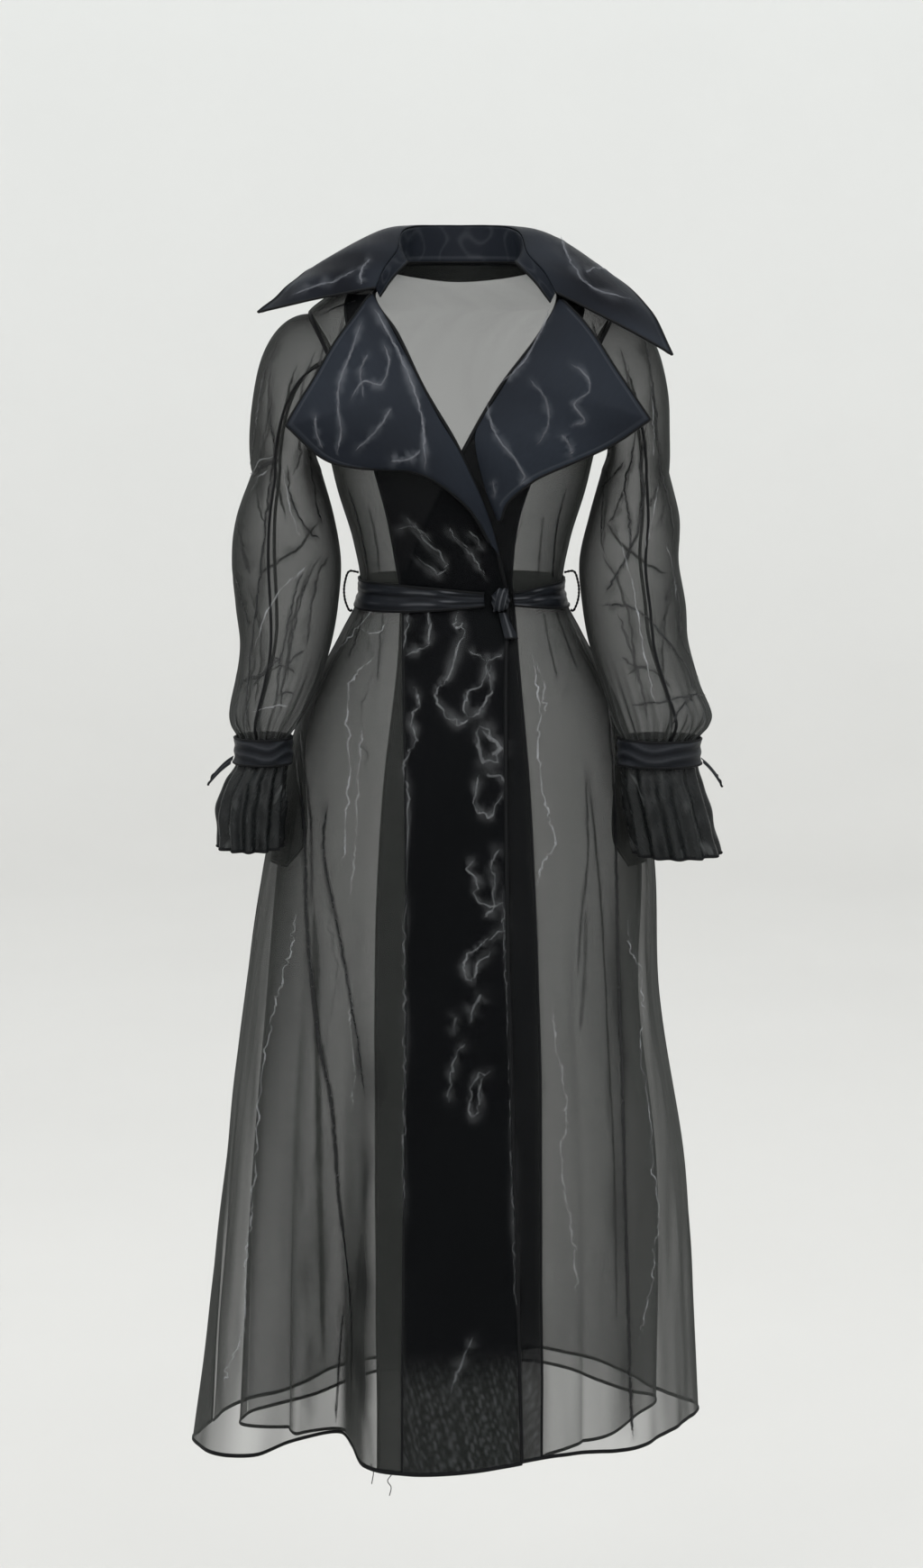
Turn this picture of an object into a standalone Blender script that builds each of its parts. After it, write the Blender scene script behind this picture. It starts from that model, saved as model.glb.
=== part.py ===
"""Sheer wrap coat, hollow as worn: wide lapels, pointed collar, full sleeves, tied belt.

Metres, +Z up. The coat faces -Y and +X is the wearer's left. The origin is midway between
the two side-neck points. "Drop" is the distance below the origin.
"""
import math

import bpy
from mathutils import Vector

# ---------------------------------------------------------------- driving sizes
WALL = 0.0012              # sheer cloth as built
HEAVY_WALL = 0.0020        # lapels, collar, cuffs, straps and belt
SEAM_GAP = 0.0004          # between sewn or layered pieces
SIDE_GAP = 0.0010          # each panel's edge from the middle of a side or shoulder seam
LAP_GAP = 0.0025           # between the under front and the layers lapped over it
TOP_DROP = 0.006           # top edge of the body pieces
HEM_DROP = 1.345
ARM_DROP = 0.133           # centre of the armhole
ARM_HALF_HEIGHT = 0.075
ARM_SPREAD = 38.0          # degrees of the body's round taken by each half of the armhole
ARM_SHRINK = 0.975         # sleeve head inside its armhole
WAIST_DROP = 0.376
BELT_HALF = 0.0150
KNOT_ANGLE = 18.0
SQUARE = 0.889             # exponent of the body sections, just squarer than an ellipse
FOLD_GROWTH = 1.7          # exponent of a hem fold's growth down the skirt
TOP_LIFT_ANGLES = (42.0, 80.0)   # the top front's lift off the body form ends between these
TOP_LIFT_DROPS = (0.110, 0.200)  # and it starts between these
FACING_ROW = 2             # row where facings and linings begin
SEAM_ROUND = 1.4           # a side's radius of curvature over its front depth
LEAST_GROUP = 2.0          # degrees that any group of a front's columns keeps
FULL_TURN = 360.0
HALF_TURN = 180.0
SIDE = 90.0                # angle of the side seams

FACING_OFF = -(WALL + SEAM_GAP)
POCKET_OFF = FACING_OFF - 0.0004
BACK_LINING_OFF = FACING_OFF - 0.0018
TOP_FACING_OFF = WALL + LAP_GAP
TOP_OFF = TOP_FACING_OFF + WALL + SEAM_GAP
BELT_GAP = 0.0012
BELT_OFF = TOP_OFF + WALL + BELT_GAP

# drop, centre x, half width, front depth, back depth
BODY = (
    (0.000, 0.0000, 0.0720, 0.042, 0.056),
    (0.015, 0.0000, 0.1020, 0.050, 0.064),
    (0.030, 0.0000, 0.1320, 0.060, 0.070),
    (0.045, 0.0000, 0.1560, 0.069, 0.077),
    (0.060, 0.0000, 0.1730, 0.077, 0.084),
    (0.090, 0.0000, 0.1790, 0.092, 0.094),
    (0.130, 0.0000, 0.1750, 0.108, 0.102),
    (0.170, 0.0000, 0.1650, 0.119, 0.104),
    (0.210, 0.0000, 0.1520, 0.125, 0.101),
    (0.260, 0.0000, 0.1400, 0.119, 0.094),
    (0.320, 0.0000, 0.1220, 0.102, 0.087),
    (0.376, 0.0000, 0.1150, 0.091, 0.083),
    (0.420, 0.0000, 0.1350, 0.103, 0.100),
    (0.500, 0.0000, 0.1770, 0.126, 0.130),
    (0.580, -0.0010, 0.2030, 0.145, 0.148),
    (0.690, -0.0025, 0.2240, 0.160, 0.160),
    (0.845, -0.0110, 0.2380, 0.178, 0.172),
    (1.060, -0.0090, 0.2640, 0.197, 0.186),
    (1.345, -0.0160, 0.2800, 0.214, 0.198),
)

# Hem of the coat, a row per crest and hollow: angle from the front, sideways and forward
# drift of the hem from its plain section, drop where the fold starts
FOLDS = (
    (-90.0, 0.004, -0.060, 0.50),
    (-70.0, -0.027, -0.045, 0.50),
    (-58.0, -0.022, -0.053, 0.50),
    (-48.0, -0.009, -0.028, 0.55),
    (-39.0, -0.004, 0.039, 0.62),
    (-32.0, 0.013, 0.090, 0.66),
    (-26.5, 0.018, 0.098, 0.66),
    (-22.0, 0.014, 0.050, 0.66),
    (-18.0, 0.008, -0.012, 0.66),
    (-8.0, 0.006, -0.033, 0.60),
    (2.0, 0.002, -0.026, 0.55),
    (14.0, 0.000, 0.000, 0.55),
    (30.0, 0.000, 0.014, 0.60),
    (46.0, 0.000, -0.006, 0.60),
    (68.0, 0.007, 0.012, 0.50),
    (90.0, 0.012, -0.002, 0.50),
    (105.0, -0.012, -0.015, 0.50),
    (120.0, -0.016, -0.012, 0.60),
    (135.0, -0.008, 0.008, 0.60),
    (150.0, 0.004, 0.020, 0.60),
    (164.0, 0.012, 0.026, 0.60),
    (180.0, 0.014, -0.036, 0.70),
    (193.0, 0.008, -0.008, 0.60),
    (210.0, 0.020, -0.022, 0.60),
    (225.0, 0.036, -0.056, 0.60),
    (238.0, 0.040, -0.064, 0.60),
    (252.0, 0.030, -0.052, 0.55),
    (270.0, 0.004, -0.060, 0.50),
)

# Hem of the lining the same way; it hangs inside the coat
LINING_FOLDS = (
    (-90.0, 0.026, -0.038, 0.50),
    (-72.0, 0.010, -0.004, 0.50),
    (-56.0, 0.020, 0.036, 0.55),
    (-44.0, 0.026, 0.076, 0.62),
    (-34.0, 0.020, 0.140, 0.66),
    (-26.0, 0.016, 0.150, 0.66),
    (-18.0, 0.012, 0.040, 0.66),
    (0.0, 0.004, 0.010, 0.60),
    (22.0, 0.018, 0.060, 0.60),
    (34.0, -0.004, 0.034, 0.60),
    (48.0, -0.014, 0.026, 0.60),
    (68.0, -0.020, 0.050, 0.50),
    (90.0, -0.014, 0.024, 0.50),
    (110.0, -0.030, -0.022, 0.50),
    (128.0, -0.030, -0.028, 0.60),
    (146.0, -0.014, -0.012, 0.60),
    (164.0, -0.002, -0.006, 0.60),
    (180.0, 0.014, -0.076, 0.70),
    (196.0, 0.016, -0.040, 0.60),
    (214.0, 0.040, -0.056, 0.60),
    (234.0, 0.056, -0.080, 0.60),
    (252.0, 0.046, -0.070, 0.55),
    (270.0, 0.026, -0.038, 0.50),
)

# Sideways place of the front edges: drop, under front's edge, top facing's inner edge,
# top front's edge, under facing's inner edge
FRONT_EDGES = (
    (0.000, 0.062, -0.0715, -0.062, 0.0715),
    (0.020, 0.090, -0.1020, -0.082, 0.1060),
    (0.040, 0.108, -0.1280, -0.098, 0.1350),
    (0.080, 0.088, -0.1260, -0.072, 0.1300),
    (0.140, 0.042, -0.1120, -0.042, 0.1120),
    (0.208, 0.002, -0.0990, -0.002, 0.0900),
    (0.283, -0.036, -0.0800, 0.029, 0.0640),
    (0.352, -0.062, -0.0680, 0.046, 0.0560),
    (0.376, -0.066, -0.0640, 0.050, 0.0580),
    (0.450, -0.070, -0.0640, 0.049, 0.0640),
    (0.580, -0.085, -0.0620, 0.049, 0.0750),
    (0.720, -0.093, -0.0610, 0.050, 0.0820),
    (0.900, -0.095, -0.0620, 0.054, 0.0880),
    (1.100, -0.095, -0.0640, 0.060, 0.0900),
    (1.345, -0.094, -0.0660, 0.066, 0.0920),
)

# rows of the body pieces above and below the armhole
NECK_ROWS = (TOP_DROP, 0.020, 0.034, 0.047)
SKIRT_ROWS = (0.240, 0.280, 0.320, WAIST_DROP - BELT_HALF, WAIST_DROP,
              WAIST_DROP + BELT_HALF, 0.435, 0.490, 0.560, 0.650, 0.760,
              0.890, 1.040, 1.195, HEM_DROP)
ARM_STEPS = 16             # points round the armhole
GATHERS = 12               # gathers of each sleeve at its wrist, and ruffle waves of its cuff
TUBE_STEPS = 2 * GATHERS   # points round a sleeve, cuff or strap
GATHER_START = 0.455       # drop where a sleeve's gathers begin
GATHER_FULL = 0.529

# How deep the gathers and ruffle waves stand, a row per drop
WAVES = (
    (GATHER_START, 0.0000),
    (0.500, 0.0012),
    (GATHER_FULL, 0.0022),
    (0.560, 0.0022),
    (0.580, 0.0026),
    (0.654, 0.0042),
)

# Arms as worn, a row per section: drop, outer x, inner x, centre y, half depth.
# Distances from the centre line of the coat.
ARM_R = (
    (0.240, 0.2400, 0.1590, 0.000, 0.062),
    (0.290, 0.2580, 0.1450, -0.005, 0.066),
    (0.340, 0.2640, 0.1370, -0.012, 0.067),
    (0.390, 0.2580, 0.1400, -0.030, 0.066),
    (0.430, 0.2530, 0.1470, -0.048, 0.064),
    (0.470, 0.2570, 0.1590, -0.068, 0.060),
    (0.505, 0.2610, 0.1760, -0.086, 0.052),
    (0.519, 0.2580, 0.1860, -0.094, 0.043),
    (0.529, 0.2515, 0.1940, -0.099, 0.033),
    (0.537, 0.2500, 0.1960, -0.100, 0.031),
)
ARM_L = (
    (0.240, 0.2370, 0.1590, 0.000, 0.062),
    (0.290, 0.2490, 0.1450, -0.005, 0.066),
    (0.340, 0.2500, 0.1340, -0.012, 0.067),
    (0.390, 0.2560, 0.1370, -0.032, 0.066),
    (0.430, 0.2580, 0.1440, -0.054, 0.064),
    (0.470, 0.2690, 0.1570, -0.078, 0.061),
    (0.505, 0.2810, 0.1680, -0.097, 0.055),
    (0.519, 0.2760, 0.1740, -0.104, 0.047),
    (0.529, 0.2660, 0.1800, -0.108, 0.039),
    (0.537, 0.2620, 0.1820, -0.110, 0.036),
)
CUFF_TOP = 0.5374
CUFF_R = (
    (CUFF_TOP, 0.2500, 0.1960, -0.100, 0.031),
    (0.560, 0.2520, 0.1960, -0.101, 0.033),
    (0.580, 0.2640, 0.1990, -0.103, 0.037),
    (0.612, 0.2740, 0.2000, -0.105, 0.041),
    (0.654, 0.2720, 0.2040, -0.108, 0.043),
)
CUFF_L = (
    (CUFF_TOP, 0.2620, 0.1820, -0.110, 0.036),
    (0.560, 0.2640, 0.1810, -0.111, 0.037),
    (0.580, 0.2690, 0.1810, -0.113, 0.040),
    (0.612, 0.2780, 0.1860, -0.115, 0.043),
    (0.660, 0.2890, 0.1960, -0.118, 0.046),
)
STRAP_DROPS = (0.531, 0.545, 0.559)
STRAP_STAND = 0.0036       # strap's inner face out from the plain wrist, clear of the gathers
# start and end of each strap's tail
TAIL_R = ((-0.2590, -0.104, -0.5560), (-0.2830, -0.106, -0.5780))
TAIL_L = ((0.2720, -0.114, -0.5560), (0.2910, -0.116, -0.5780))
TAIL_WIDTH = 0.016

# Lapels, a row per step down the roll: roll x, roll drop, edge x, edge drop, edge y, belly
LAPEL_R = (
    (-0.1000, 0.038, -0.1030, 0.0385, -0.0600, 0.000),
    (-0.0830, 0.066, -0.1420, 0.0930, -0.0850, 0.004),
    (-0.0640, 0.100, -0.1700, 0.1400, -0.1020, 0.008),
    (-0.0430, 0.140, -0.1940, 0.1800, -0.1180, 0.010),
    (-0.0240, 0.174, -0.1530, 0.2160, -0.1200, 0.010),
    (-0.0040, 0.206, -0.1120, 0.2270, -0.1290, 0.009),
    (0.0100, 0.235, -0.0660, 0.2270, -0.1370, 0.006),
    (0.0220, 0.262, -0.0260, 0.2420, -0.1390, 0.004),
    (0.0320, 0.290, 0.0080, 0.2700, -0.1320, 0.002),
    (0.0410, 0.325, 0.0310, 0.3100, -0.1160, 0.000),
)
LAPEL_L = (
    (0.1100, 0.0430, 0.1130, 0.0435, -0.0620, 0.000),
    (0.0960, 0.068, 0.1440, 0.0780, -0.0820, 0.004),
    (0.0780, 0.096, 0.1760, 0.1260, -0.1000, 0.008),
    (0.0560, 0.124, 0.2090, 0.1740, -0.1140, 0.010),
    (0.0400, 0.148, 0.1700, 0.2000, -0.1160, 0.009),
    (0.0240, 0.172, 0.1250, 0.2200, -0.1220, 0.007),
    (0.0150, 0.196, 0.0820, 0.2400, -0.1270, 0.004),
    (0.0260, 0.246, 0.0520, 0.2640, -0.1240, 0.001),
    (0.0410, 0.285, 0.0440, 0.2860, -0.1200, 0.000),
)
LAPEL_COLUMNS = 6
LAPEL_BOW = 0.004          # rise of every lapel row toward its edge
LAPEL_STAND = 0.0030       # roll line of a lapel out from its front
UNDER_LAPEL_STAND = 0.0022

# Collar stand, a row per section from the wearer's right gorge to the left: foot x y z, top x y z
STAND = (
    (-0.0920, -0.0520, -0.0400, -0.0960, -0.0580, -0.0310),
    (-0.0770, -0.0440, -0.0190, -0.0870, -0.0490, -0.0100),
    (-0.0620, -0.0240, -0.0030, -0.0730, -0.0260, 0.0100),
    (-0.0660, 0.0060, -0.0035, -0.0680, 0.0080, 0.0300),
    (-0.0540, 0.0330, -0.0035, -0.0540, 0.0380, 0.0360),
    (-0.0290, 0.0500, -0.0035, -0.0290, 0.0560, 0.0370),
    (0.0000, 0.0540, -0.0035, 0.0000, 0.0610, 0.0370),
    (0.0290, 0.0500, -0.0035, 0.0290, 0.0560, 0.0370),
    (0.0540, 0.0330, -0.0035, 0.0540, 0.0380, 0.0350),
    (0.0660, 0.0060, -0.0035, 0.0680, 0.0080, 0.0270),
    (0.0620, -0.0240, -0.0030, 0.0750, -0.0260, 0.0060),
    (0.0820, -0.0460, -0.0230, 0.0930, -0.0500, -0.0140),
    (0.1000, -0.0560, -0.0460, 0.1050, -0.0610, -0.0360),
)
# Collar fall: x y z of its outer edge opposite each row of the stand, and how far it puffs up
FALL = (
    (-0.2260, -0.0780, -0.0580, 0.002),
    (-0.1970, -0.0400, -0.0330, 0.008),
    (-0.1660, 0.0060, -0.0100, 0.014),
    (-0.1340, 0.0500, -0.0060, 0.016),
    (-0.0960, 0.0820, -0.0120, 0.014),
    (-0.0460, 0.1010, -0.0220, 0.010),
    (0.0000, 0.1060, -0.0260, 0.008),
    (0.0460, 0.1010, -0.0220, 0.010),
    (0.0980, 0.0820, -0.0120, 0.014),
    (0.1420, 0.0500, -0.0080, 0.016),
    (0.1780, 0.0060, -0.0240, 0.012),
    (0.2130, -0.0400, -0.0600, 0.008),
    (0.2340, -0.0820, -0.1050, 0.002),
)
FALL_LIFT = 0.0032         # the fall starts this far above the stand
FALL_COLUMNS = 5
FALL_CREST = 0.8           # exponent of the puff, below 1 for a fuller roll

# Pocket bags, a row per drop: inner edge as degrees from the front
POCKET = (
    (0.430, 80.0),
    (0.480, 73.0),
    (0.540, 66.0),
    (0.600, 55.0),
    (0.650, 51.0),
    (0.680, 58.0),
)

BLACK = (0.012, 0.013, 0.016)
MATERIALS = {
    # name: colour, roughness
    "sheer_cloth": ((0.030, 0.032, 0.036), 0.55),
    "opaque_cloth": (BLACK, 0.42),
    "belt_cloth": ((0.010, 0.011, 0.014), 0.40),
    "thread": ((0.008, 0.008, 0.009), 0.60),
}


# ---------------------------------------------------------------- small tools
def smooth_row(table, key):
    """Row of a table at a key, smooth between the rows and flat past its ends."""
    if key <= table[0][0]:
        return table[0][1:]
    if key >= table[-1][0]:
        return table[-1][1:]
    index = 0
    while table[index + 1][0] < key:
        index += 1
    low = table[index]
    high = table[index + 1]
    before = table[max(index - 1, 0)]
    after = table[min(index + 2, len(table) - 1)]
    span = high[0] - low[0]
    t = (key - low[0]) / span
    values = []
    for column in range(1, len(low)):
        slope_low = (high[column] - before[column]) / (high[0] - before[0])
        slope_high = (after[column] - low[column]) / (after[0] - low[0])
        a = low[column]
        b = high[column]
        value = (2 * t ** 3 - 3 * t ** 2 + 1) * a + (3 * t ** 2 - 2 * t ** 3) * b
        value += (t ** 3 - 2 * t ** 2 + t) * span * slope_low
        value += (t ** 3 - t ** 2) * span * slope_high
        values.append(value)
    return values


def ease(low, high, value):
    """0 at low, 1 at high, smooth between."""
    t = min(max((value - low) / (high - low), 0.0), 1.0)
    return t * t * (3.0 - 2.0 * t)


def power(value, exponent):
    return math.copysign(abs(value) ** exponent, value)


# ---------------------------------------------------------------- body form
def body_point(angle, drop, folds):
    """Point of the body form at an angle (degrees from the front, + to +X) and a drop."""
    centre_x, half_width, front, back = smooth_row(BODY, drop)
    radians = math.radians(angle)
    depth = front if math.cos(radians) > 0.0 else back
    x = centre_x + half_width * power(math.sin(radians), SQUARE)
    y = -depth * power(math.cos(radians), SQUARE)
    turned = (angle + SIDE) % FULL_TURN - SIDE
    drift_x, drift_y, start = smooth_row(folds, turned)
    growth = min(max((drop - start) / (HEM_DROP - start), 0.0), 1.0) ** FOLD_GROWTH
    return Vector((x + drift_x * growth, y + drift_y * growth, -drop))


NEAR_SIDE = 89.5           # degrees, just short of the side
HALVINGS = 40              # steps of the search for an angle


def angle_at(x, drop):
    """Angle on the front half where the coat's body form has this x."""
    low = -NEAR_SIDE
    high = NEAR_SIDE
    for _ in range(HALVINGS):
        middle = 0.5 * (low + high)
        if body_point(middle, drop, FOLDS).x < x:
            low = middle
        else:
            high = middle
    return 0.5 * (low + high)


def front_depth(x, drop):
    """y of the body form's front at this x, out to its side."""
    return body_point(angle_at(x, drop), drop, FOLDS).y


def body_rows():
    """Drops of the rows, with a row at each point of the armhole."""
    arm = []
    for step in range(ARM_STEPS // 2 + 1):
        turn = 2.0 * math.pi * step / ARM_STEPS
        arm.append(ARM_DROP - ARM_HALF_HEIGHT * math.cos(turn))
    return list(NECK_ROWS) + arm + list(SKIRT_ROWS)


def side_angle(drop):
    """Angle of the side seam, pulled toward the front or back by half the armhole."""
    ratio = (drop - ARM_DROP) / ARM_HALF_HEIGHT
    if abs(ratio) >= 1.0:
        return SIDE
    return SIDE - ARM_SPREAD * math.sqrt(1.0 - ratio * ratio)


def top_lift(angle, drop, full):
    """How far a layer of the top front stands off the body form."""
    around = 1.0 - ease(*TOP_LIFT_ANGLES, abs(angle))
    return full * around * ease(*TOP_LIFT_DROPS, drop)


def grid_normals(grid, closed):
    """Outward normal at each point of a grid whose rows run down and columns toward +X."""
    normals = []
    last_row = len(grid) - 1
    count = len(grid[0])
    for i, row in enumerate(grid):
        line = []
        for j in range(count):
            up = grid[max(i - 1, 0)][j]
            down = grid[min(i + 1, last_row)][j]
            if closed:
                left = row[(j - 1) % count]
                right = row[(j + 1) % count]
            else:
                left = row[max(j - 1, 0)]
                right = row[min(j + 1, count - 1)]
            line.append((down - up).cross(right - left).normalized())
        normals.append(line)
    return normals


def moved(grid, normals, distance):
    """The grid moved out by a distance, or by distance(i, j)."""
    result = []
    for i, row in enumerate(grid):
        line = []
        for j, point in enumerate(row):
            step = distance(i, j) if callable(distance) else distance
            line.append(point + normals[i][j] * step)
        result.append(line)
    return result


def spread(low, high, count, pinch):
    """count + 1 values from low to high, closer together near high for pinch above 1."""
    values = []
    for step in range(count + 1):
        t = step / count
        values.append(low + (high - low) * (1.0 - (1.0 - t) ** pinch))
    return values


# ---------------------------------------------------------------- objects
def collection(name):
    made = bpy.data.collections.new(name)
    bpy.context.scene.collection.children.link(made)
    return made


def material(name, colour, roughness):
    made = bpy.data.materials.new(name)
    made.use_nodes = True
    shader = made.node_tree.nodes["Principled BSDF"]
    shader.inputs["Base Color"].default_value = (*colour, 1.0)
    shader.inputs["Roughness"].default_value = roughness
    shader.inputs["Metallic"].default_value = 0.0
    made.diffuse_color = (*colour, 1.0)
    return made


def link(name, mesh, slot):
    """Object with its own copy of a slot's material."""
    obj = bpy.data.objects.new(name, mesh)
    colour, roughness = MATERIALS[slot]
    mesh.materials.append(material(name + "_" + slot, colour, roughness))
    COAT.objects.link(obj)
    return obj


def sheet(name, grid, wall, slot, closed=False, inward=False, even=True):
    """Cloth panel: an open surface through a grid of points, given its wall by Solidify."""
    points = [tuple(point) for row in grid for point in row]
    count = len(grid[0])
    spans = count if closed else count - 1
    faces = []
    for i in range(len(grid) - 1):
        for j in range(spans):
            a = i * count + j
            b = i * count + (j + 1) % count
            faces.append((a, a + count, b + count, b))
    mesh = bpy.data.meshes.new(name)
    mesh.from_pydata(points, [], faces)
    mesh.update()
    obj = link(name, mesh, slot)
    thick = obj.modifiers.new("Wall", "SOLIDIFY")
    thick.thickness = wall
    thick.offset = -1.0 if inward else 1.0
    thick.use_even_offset = even
    return obj


def cord(name, points, radius, slot):
    """Round thread through a few points, closed at both ends."""
    curve = bpy.data.curves.new(name, "CURVE")
    curve.dimensions = "3D"
    curve.bevel_depth = radius
    curve.bevel_resolution = 2
    curve.use_fill_caps = True
    spline = curve.splines.new("POLY")
    spline.points.add(len(points) - 1)
    for place, point in zip(spline.points, points):
        place.co = (*point, 1.0)
    return link(name, curve, slot)


# ---------------------------------------------------------------- body panels
def panel_grid(rows, edges, counts, pinches):
    """Grid of the body form. edges(drop) gives the angles of the breaks between the
    column groups, counts the columns in each group, pinches how they crowd."""
    grid = []
    for drop in rows:
        breaks = edges(drop)
        angles = [breaks[0]]
        for low, high, count, pinch in zip(breaks, breaks[1:], counts, pinches):
            angles += spread(low, high, count, pinch)[1:]
        grid.append([(angle, drop) for angle in angles])
    return grid


def form(angle_grid, folds=FOLDS):
    return [[body_point(angle, drop, folds) for angle, drop in row] for row in angle_grid]


def seam_angle(drop):
    """Half a seam gap as an angle of the body's round."""
    depth = smooth_row(BODY, drop)[2]
    return math.degrees(SIDE_GAP / (SEAM_ROUND * depth))


FRONT_COLUMNS = (11, 5)    # side seam to facing, facing to edge
BACK_COLUMNS = 18
LINING_COLUMNS = 10
FRONT_PINCH = (1.45, 1.0)  # the first crowd toward the facing
RIGHT_TABLE = (2, 3)       # columns of FRONT_EDGES for the facing's and the front's edge
LEFT_TABLE = (4, 1)


def edge_angle(drop, column):
    x = smooth_row(FRONT_EDGES, drop)[column - 1]
    return angle_at(x, drop)


def right_breaks(drop):
    side = -side_angle(drop) + seam_angle(drop)
    inner = max(edge_angle(drop, RIGHT_TABLE[0]), side + LEAST_GROUP)
    edge = max(edge_angle(drop, RIGHT_TABLE[1]), inner + LEAST_GROUP)
    return (side, inner, edge)


def left_breaks(drop):
    side = side_angle(drop) - seam_angle(drop)
    inner = min(edge_angle(drop, LEFT_TABLE[0]), side - LEAST_GROUP)
    edge = min(edge_angle(drop, LEFT_TABLE[1]), inner - LEAST_GROUP)
    return (edge, inner, side)


def back_breaks(drop):
    side = side_angle(drop) - seam_angle(drop)
    return (HALF_TURN - side, HALF_TURN + side)


def mirrored_grid(rows):
    """Columns of the left front, which crowd the same way from its own side seam."""
    def flipped(drop):
        return tuple(-angle for angle in reversed(left_breaks(drop)))
    grid = panel_grid(rows, flipped, FRONT_COLUMNS, FRONT_PINCH)
    return [[(-angle, drop) for angle, drop in reversed(row)] for row in grid]


def fronts():
    """Both fronts with their facings and linings, each made from its own front's points."""
    rows = body_rows()
    right_angles = panel_grid(rows, right_breaks, FRONT_COLUMNS, FRONT_PINCH)
    left_angles = mirrored_grid(rows)
    right = form(right_angles)
    left = form(left_angles)
    right_normals = grid_normals(right, False)
    left_normals = grid_normals(left, False)

    def lifted(angles, full):
        return lambda i, j: top_lift(angles[i][j][0], angles[i][j][1], full)

    top = moved(right, right_normals, lifted(right_angles, TOP_OFF))
    sheet("front_right", top, WALL, "sheer_cloth")
    sheet("front_left", left, WALL, "sheer_cloth")

    side = FRONT_COLUMNS[0]
    width = FRONT_COLUMNS[1]
    top_normals = grid_normals(top, False)
    facing = moved(top, top_normals, FACING_OFF)
    sheet("facing_right", [row[side:] for row in facing[FACING_ROW:]], WALL, "sheer_cloth")
    under = moved(left, left_normals, FACING_OFF)
    sheet("facing_left", [row[:width + 1] for row in under[FACING_ROW:]], WALL, "sheer_cloth")

    right_lining = lining_half(facing, right_angles, range(side + 1), side, LAPPED_COLUMNS)
    left_lining = lining_half(under, left_angles, range(width, width + side + 1), width, 0)
    sheet("lining_right", right_lining, WALL, "sheer_cloth")
    sheet("lining_left", left_lining, WALL, "sheer_cloth")
    pocket("pocket_right", top, top_normals, right_angles, -1)
    pocket("pocket_left", left, left_normals, left_angles, 1)


LINING_BLEND = 4.0         # columns over which the lining leaves the facing's edge
LAPPED_COLUMNS = 3         # columns the right lining stays over the left front's edge
LINING_INSET = 0.0046      # extra room below the waist for the pocket bags
LINING_DRAW = 0.012        # how far the lining's form lies inside the coat's at the skirt
DRAW_DROPS = (0.500, 0.900)      # drops over which that grows
FREE_DROPS = (0.394, 0.560)      # drops over which the lining leaves the coat
ROOM_DROPS = (0.380, 0.430)      # drops over which its extra room grows


def lining_point(angle, drop):
    """Point of the lining's own form, a little inside the coat's below the waist."""
    point = body_point(angle, drop, LINING_FOLDS)
    inner = LINING_DRAW * ease(*DRAW_DROPS, drop) - FACING_OFF
    away = Vector((point.x, point.y, 0.0))
    if away.length > 0.0:
        point -= away.normalized() * inner
    return point


def lining_half(layer, angles, columns, edge, lapped):
    """Front lining: on the facing's layer at the facing's edge and above the waist, then
    hanging on its own form toward the side seam."""
    grid = []
    for i in range(FACING_ROW, len(layer)):
        drop = angles[i][0][1]
        row = []
        for j in columns:
            base = layer[i][j]
            beyond = max(abs(j - edge) - lapped, 0)
            free = min(beyond / LINING_BLEND, 1.0) * ease(*FREE_DROPS, drop)
            target = lining_point(angles[i][j][0], drop)
            inward = Vector((-base.x, -base.y, 0.0)).normalized()
            room = LINING_INSET * min(beyond, 1.0) * ease(*ROOM_DROPS, drop)
            point = base.lerp(target, free * free) + inward * room
            if j == edge:
                point = point + edge_gap(layer[i], angles[i], j, columns)
            row.append(point)
        grid.append(row)
    return grid


def edge_gap(points, angles, j, columns):
    """A seam gap away from the facing's edge, along the row."""
    inner = j - 1 if columns[0] < j else j + 1
    return (points[inner] - points[j]).normalized() * SEAM_GAP


def back_panels():
    rows = body_rows()
    angles = panel_grid(rows, back_breaks, (BACK_COLUMNS,), (1.0,))
    grid = form(angles)
    sheet("back", grid, WALL, "sheer_cloth")

    lining_angles = panel_grid(rows, back_breaks, (LINING_COLUMNS,), (1.0,))
    lining = form(lining_angles)
    normals = grid_normals(lining, False)
    layer = moved(lining, normals, BACK_LINING_OFF)
    result = []
    for i, row in enumerate(layer):
        drop = rows[i]
        free = ease(*FREE_DROPS, drop) ** 2
        line = []
        for j, base in enumerate(row):
            target = lining_point(lining_angles[i][j][0], drop)
            inward = Vector((-base.x, -base.y, 0.0)).normalized()
            room = LINING_INSET * ease(*ROOM_DROPS, drop)
            line.append(base.lerp(target, free) + inward * room)
        result.append(line)
    sheet("lining_back", result, WALL, "sheer_cloth")


POCKET_SIDE = 88.0         # degrees, the bag's edge at the side seam
POCKET_COLUMNS = 5


def pocket(name, front, normals, angles, sign):
    """Pocket bag on the inner side of a front, at its side seam."""
    grid = []
    for drop, inner in POCKET:
        line = []
        for angle in spread(sign * POCKET_SIDE, sign * inner, POCKET_COLUMNS, 1.0):
            line.append(on_grid(front, normals, angles, angle, drop))
        if sign > 0:
            line.reverse()
        grid.append(line)
    sheet(name, grid, WALL, "sheer_cloth")


def on_grid(grid, normals, angles, angle, drop):
    """Point under a panel, on its own flat faces, at an angle and drop."""
    i = 0
    while angles[i + 1][0][1] < drop and i < len(grid) - 2:
        i += 1
    t = (drop - angles[i][0][1]) / (angles[i + 1][0][1] - angles[i][0][1])
    upper = row_point(grid[i], normals[i], [a for a, _ in angles[i]], angle)
    lower = row_point(grid[i + 1], normals[i + 1], [a for a, _ in angles[i + 1]], angle)
    return upper.lerp(lower, t)


def row_point(points, normals, angles, angle):
    j = 0
    while angles[j + 1] < angle and j < len(points) - 2:
        j += 1
    t = (angle - angles[j]) / (angles[j + 1] - angles[j])
    out = normals[j].lerp(normals[j + 1], t)
    return points[j].lerp(points[j + 1], t) + out * POCKET_OFF


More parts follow.
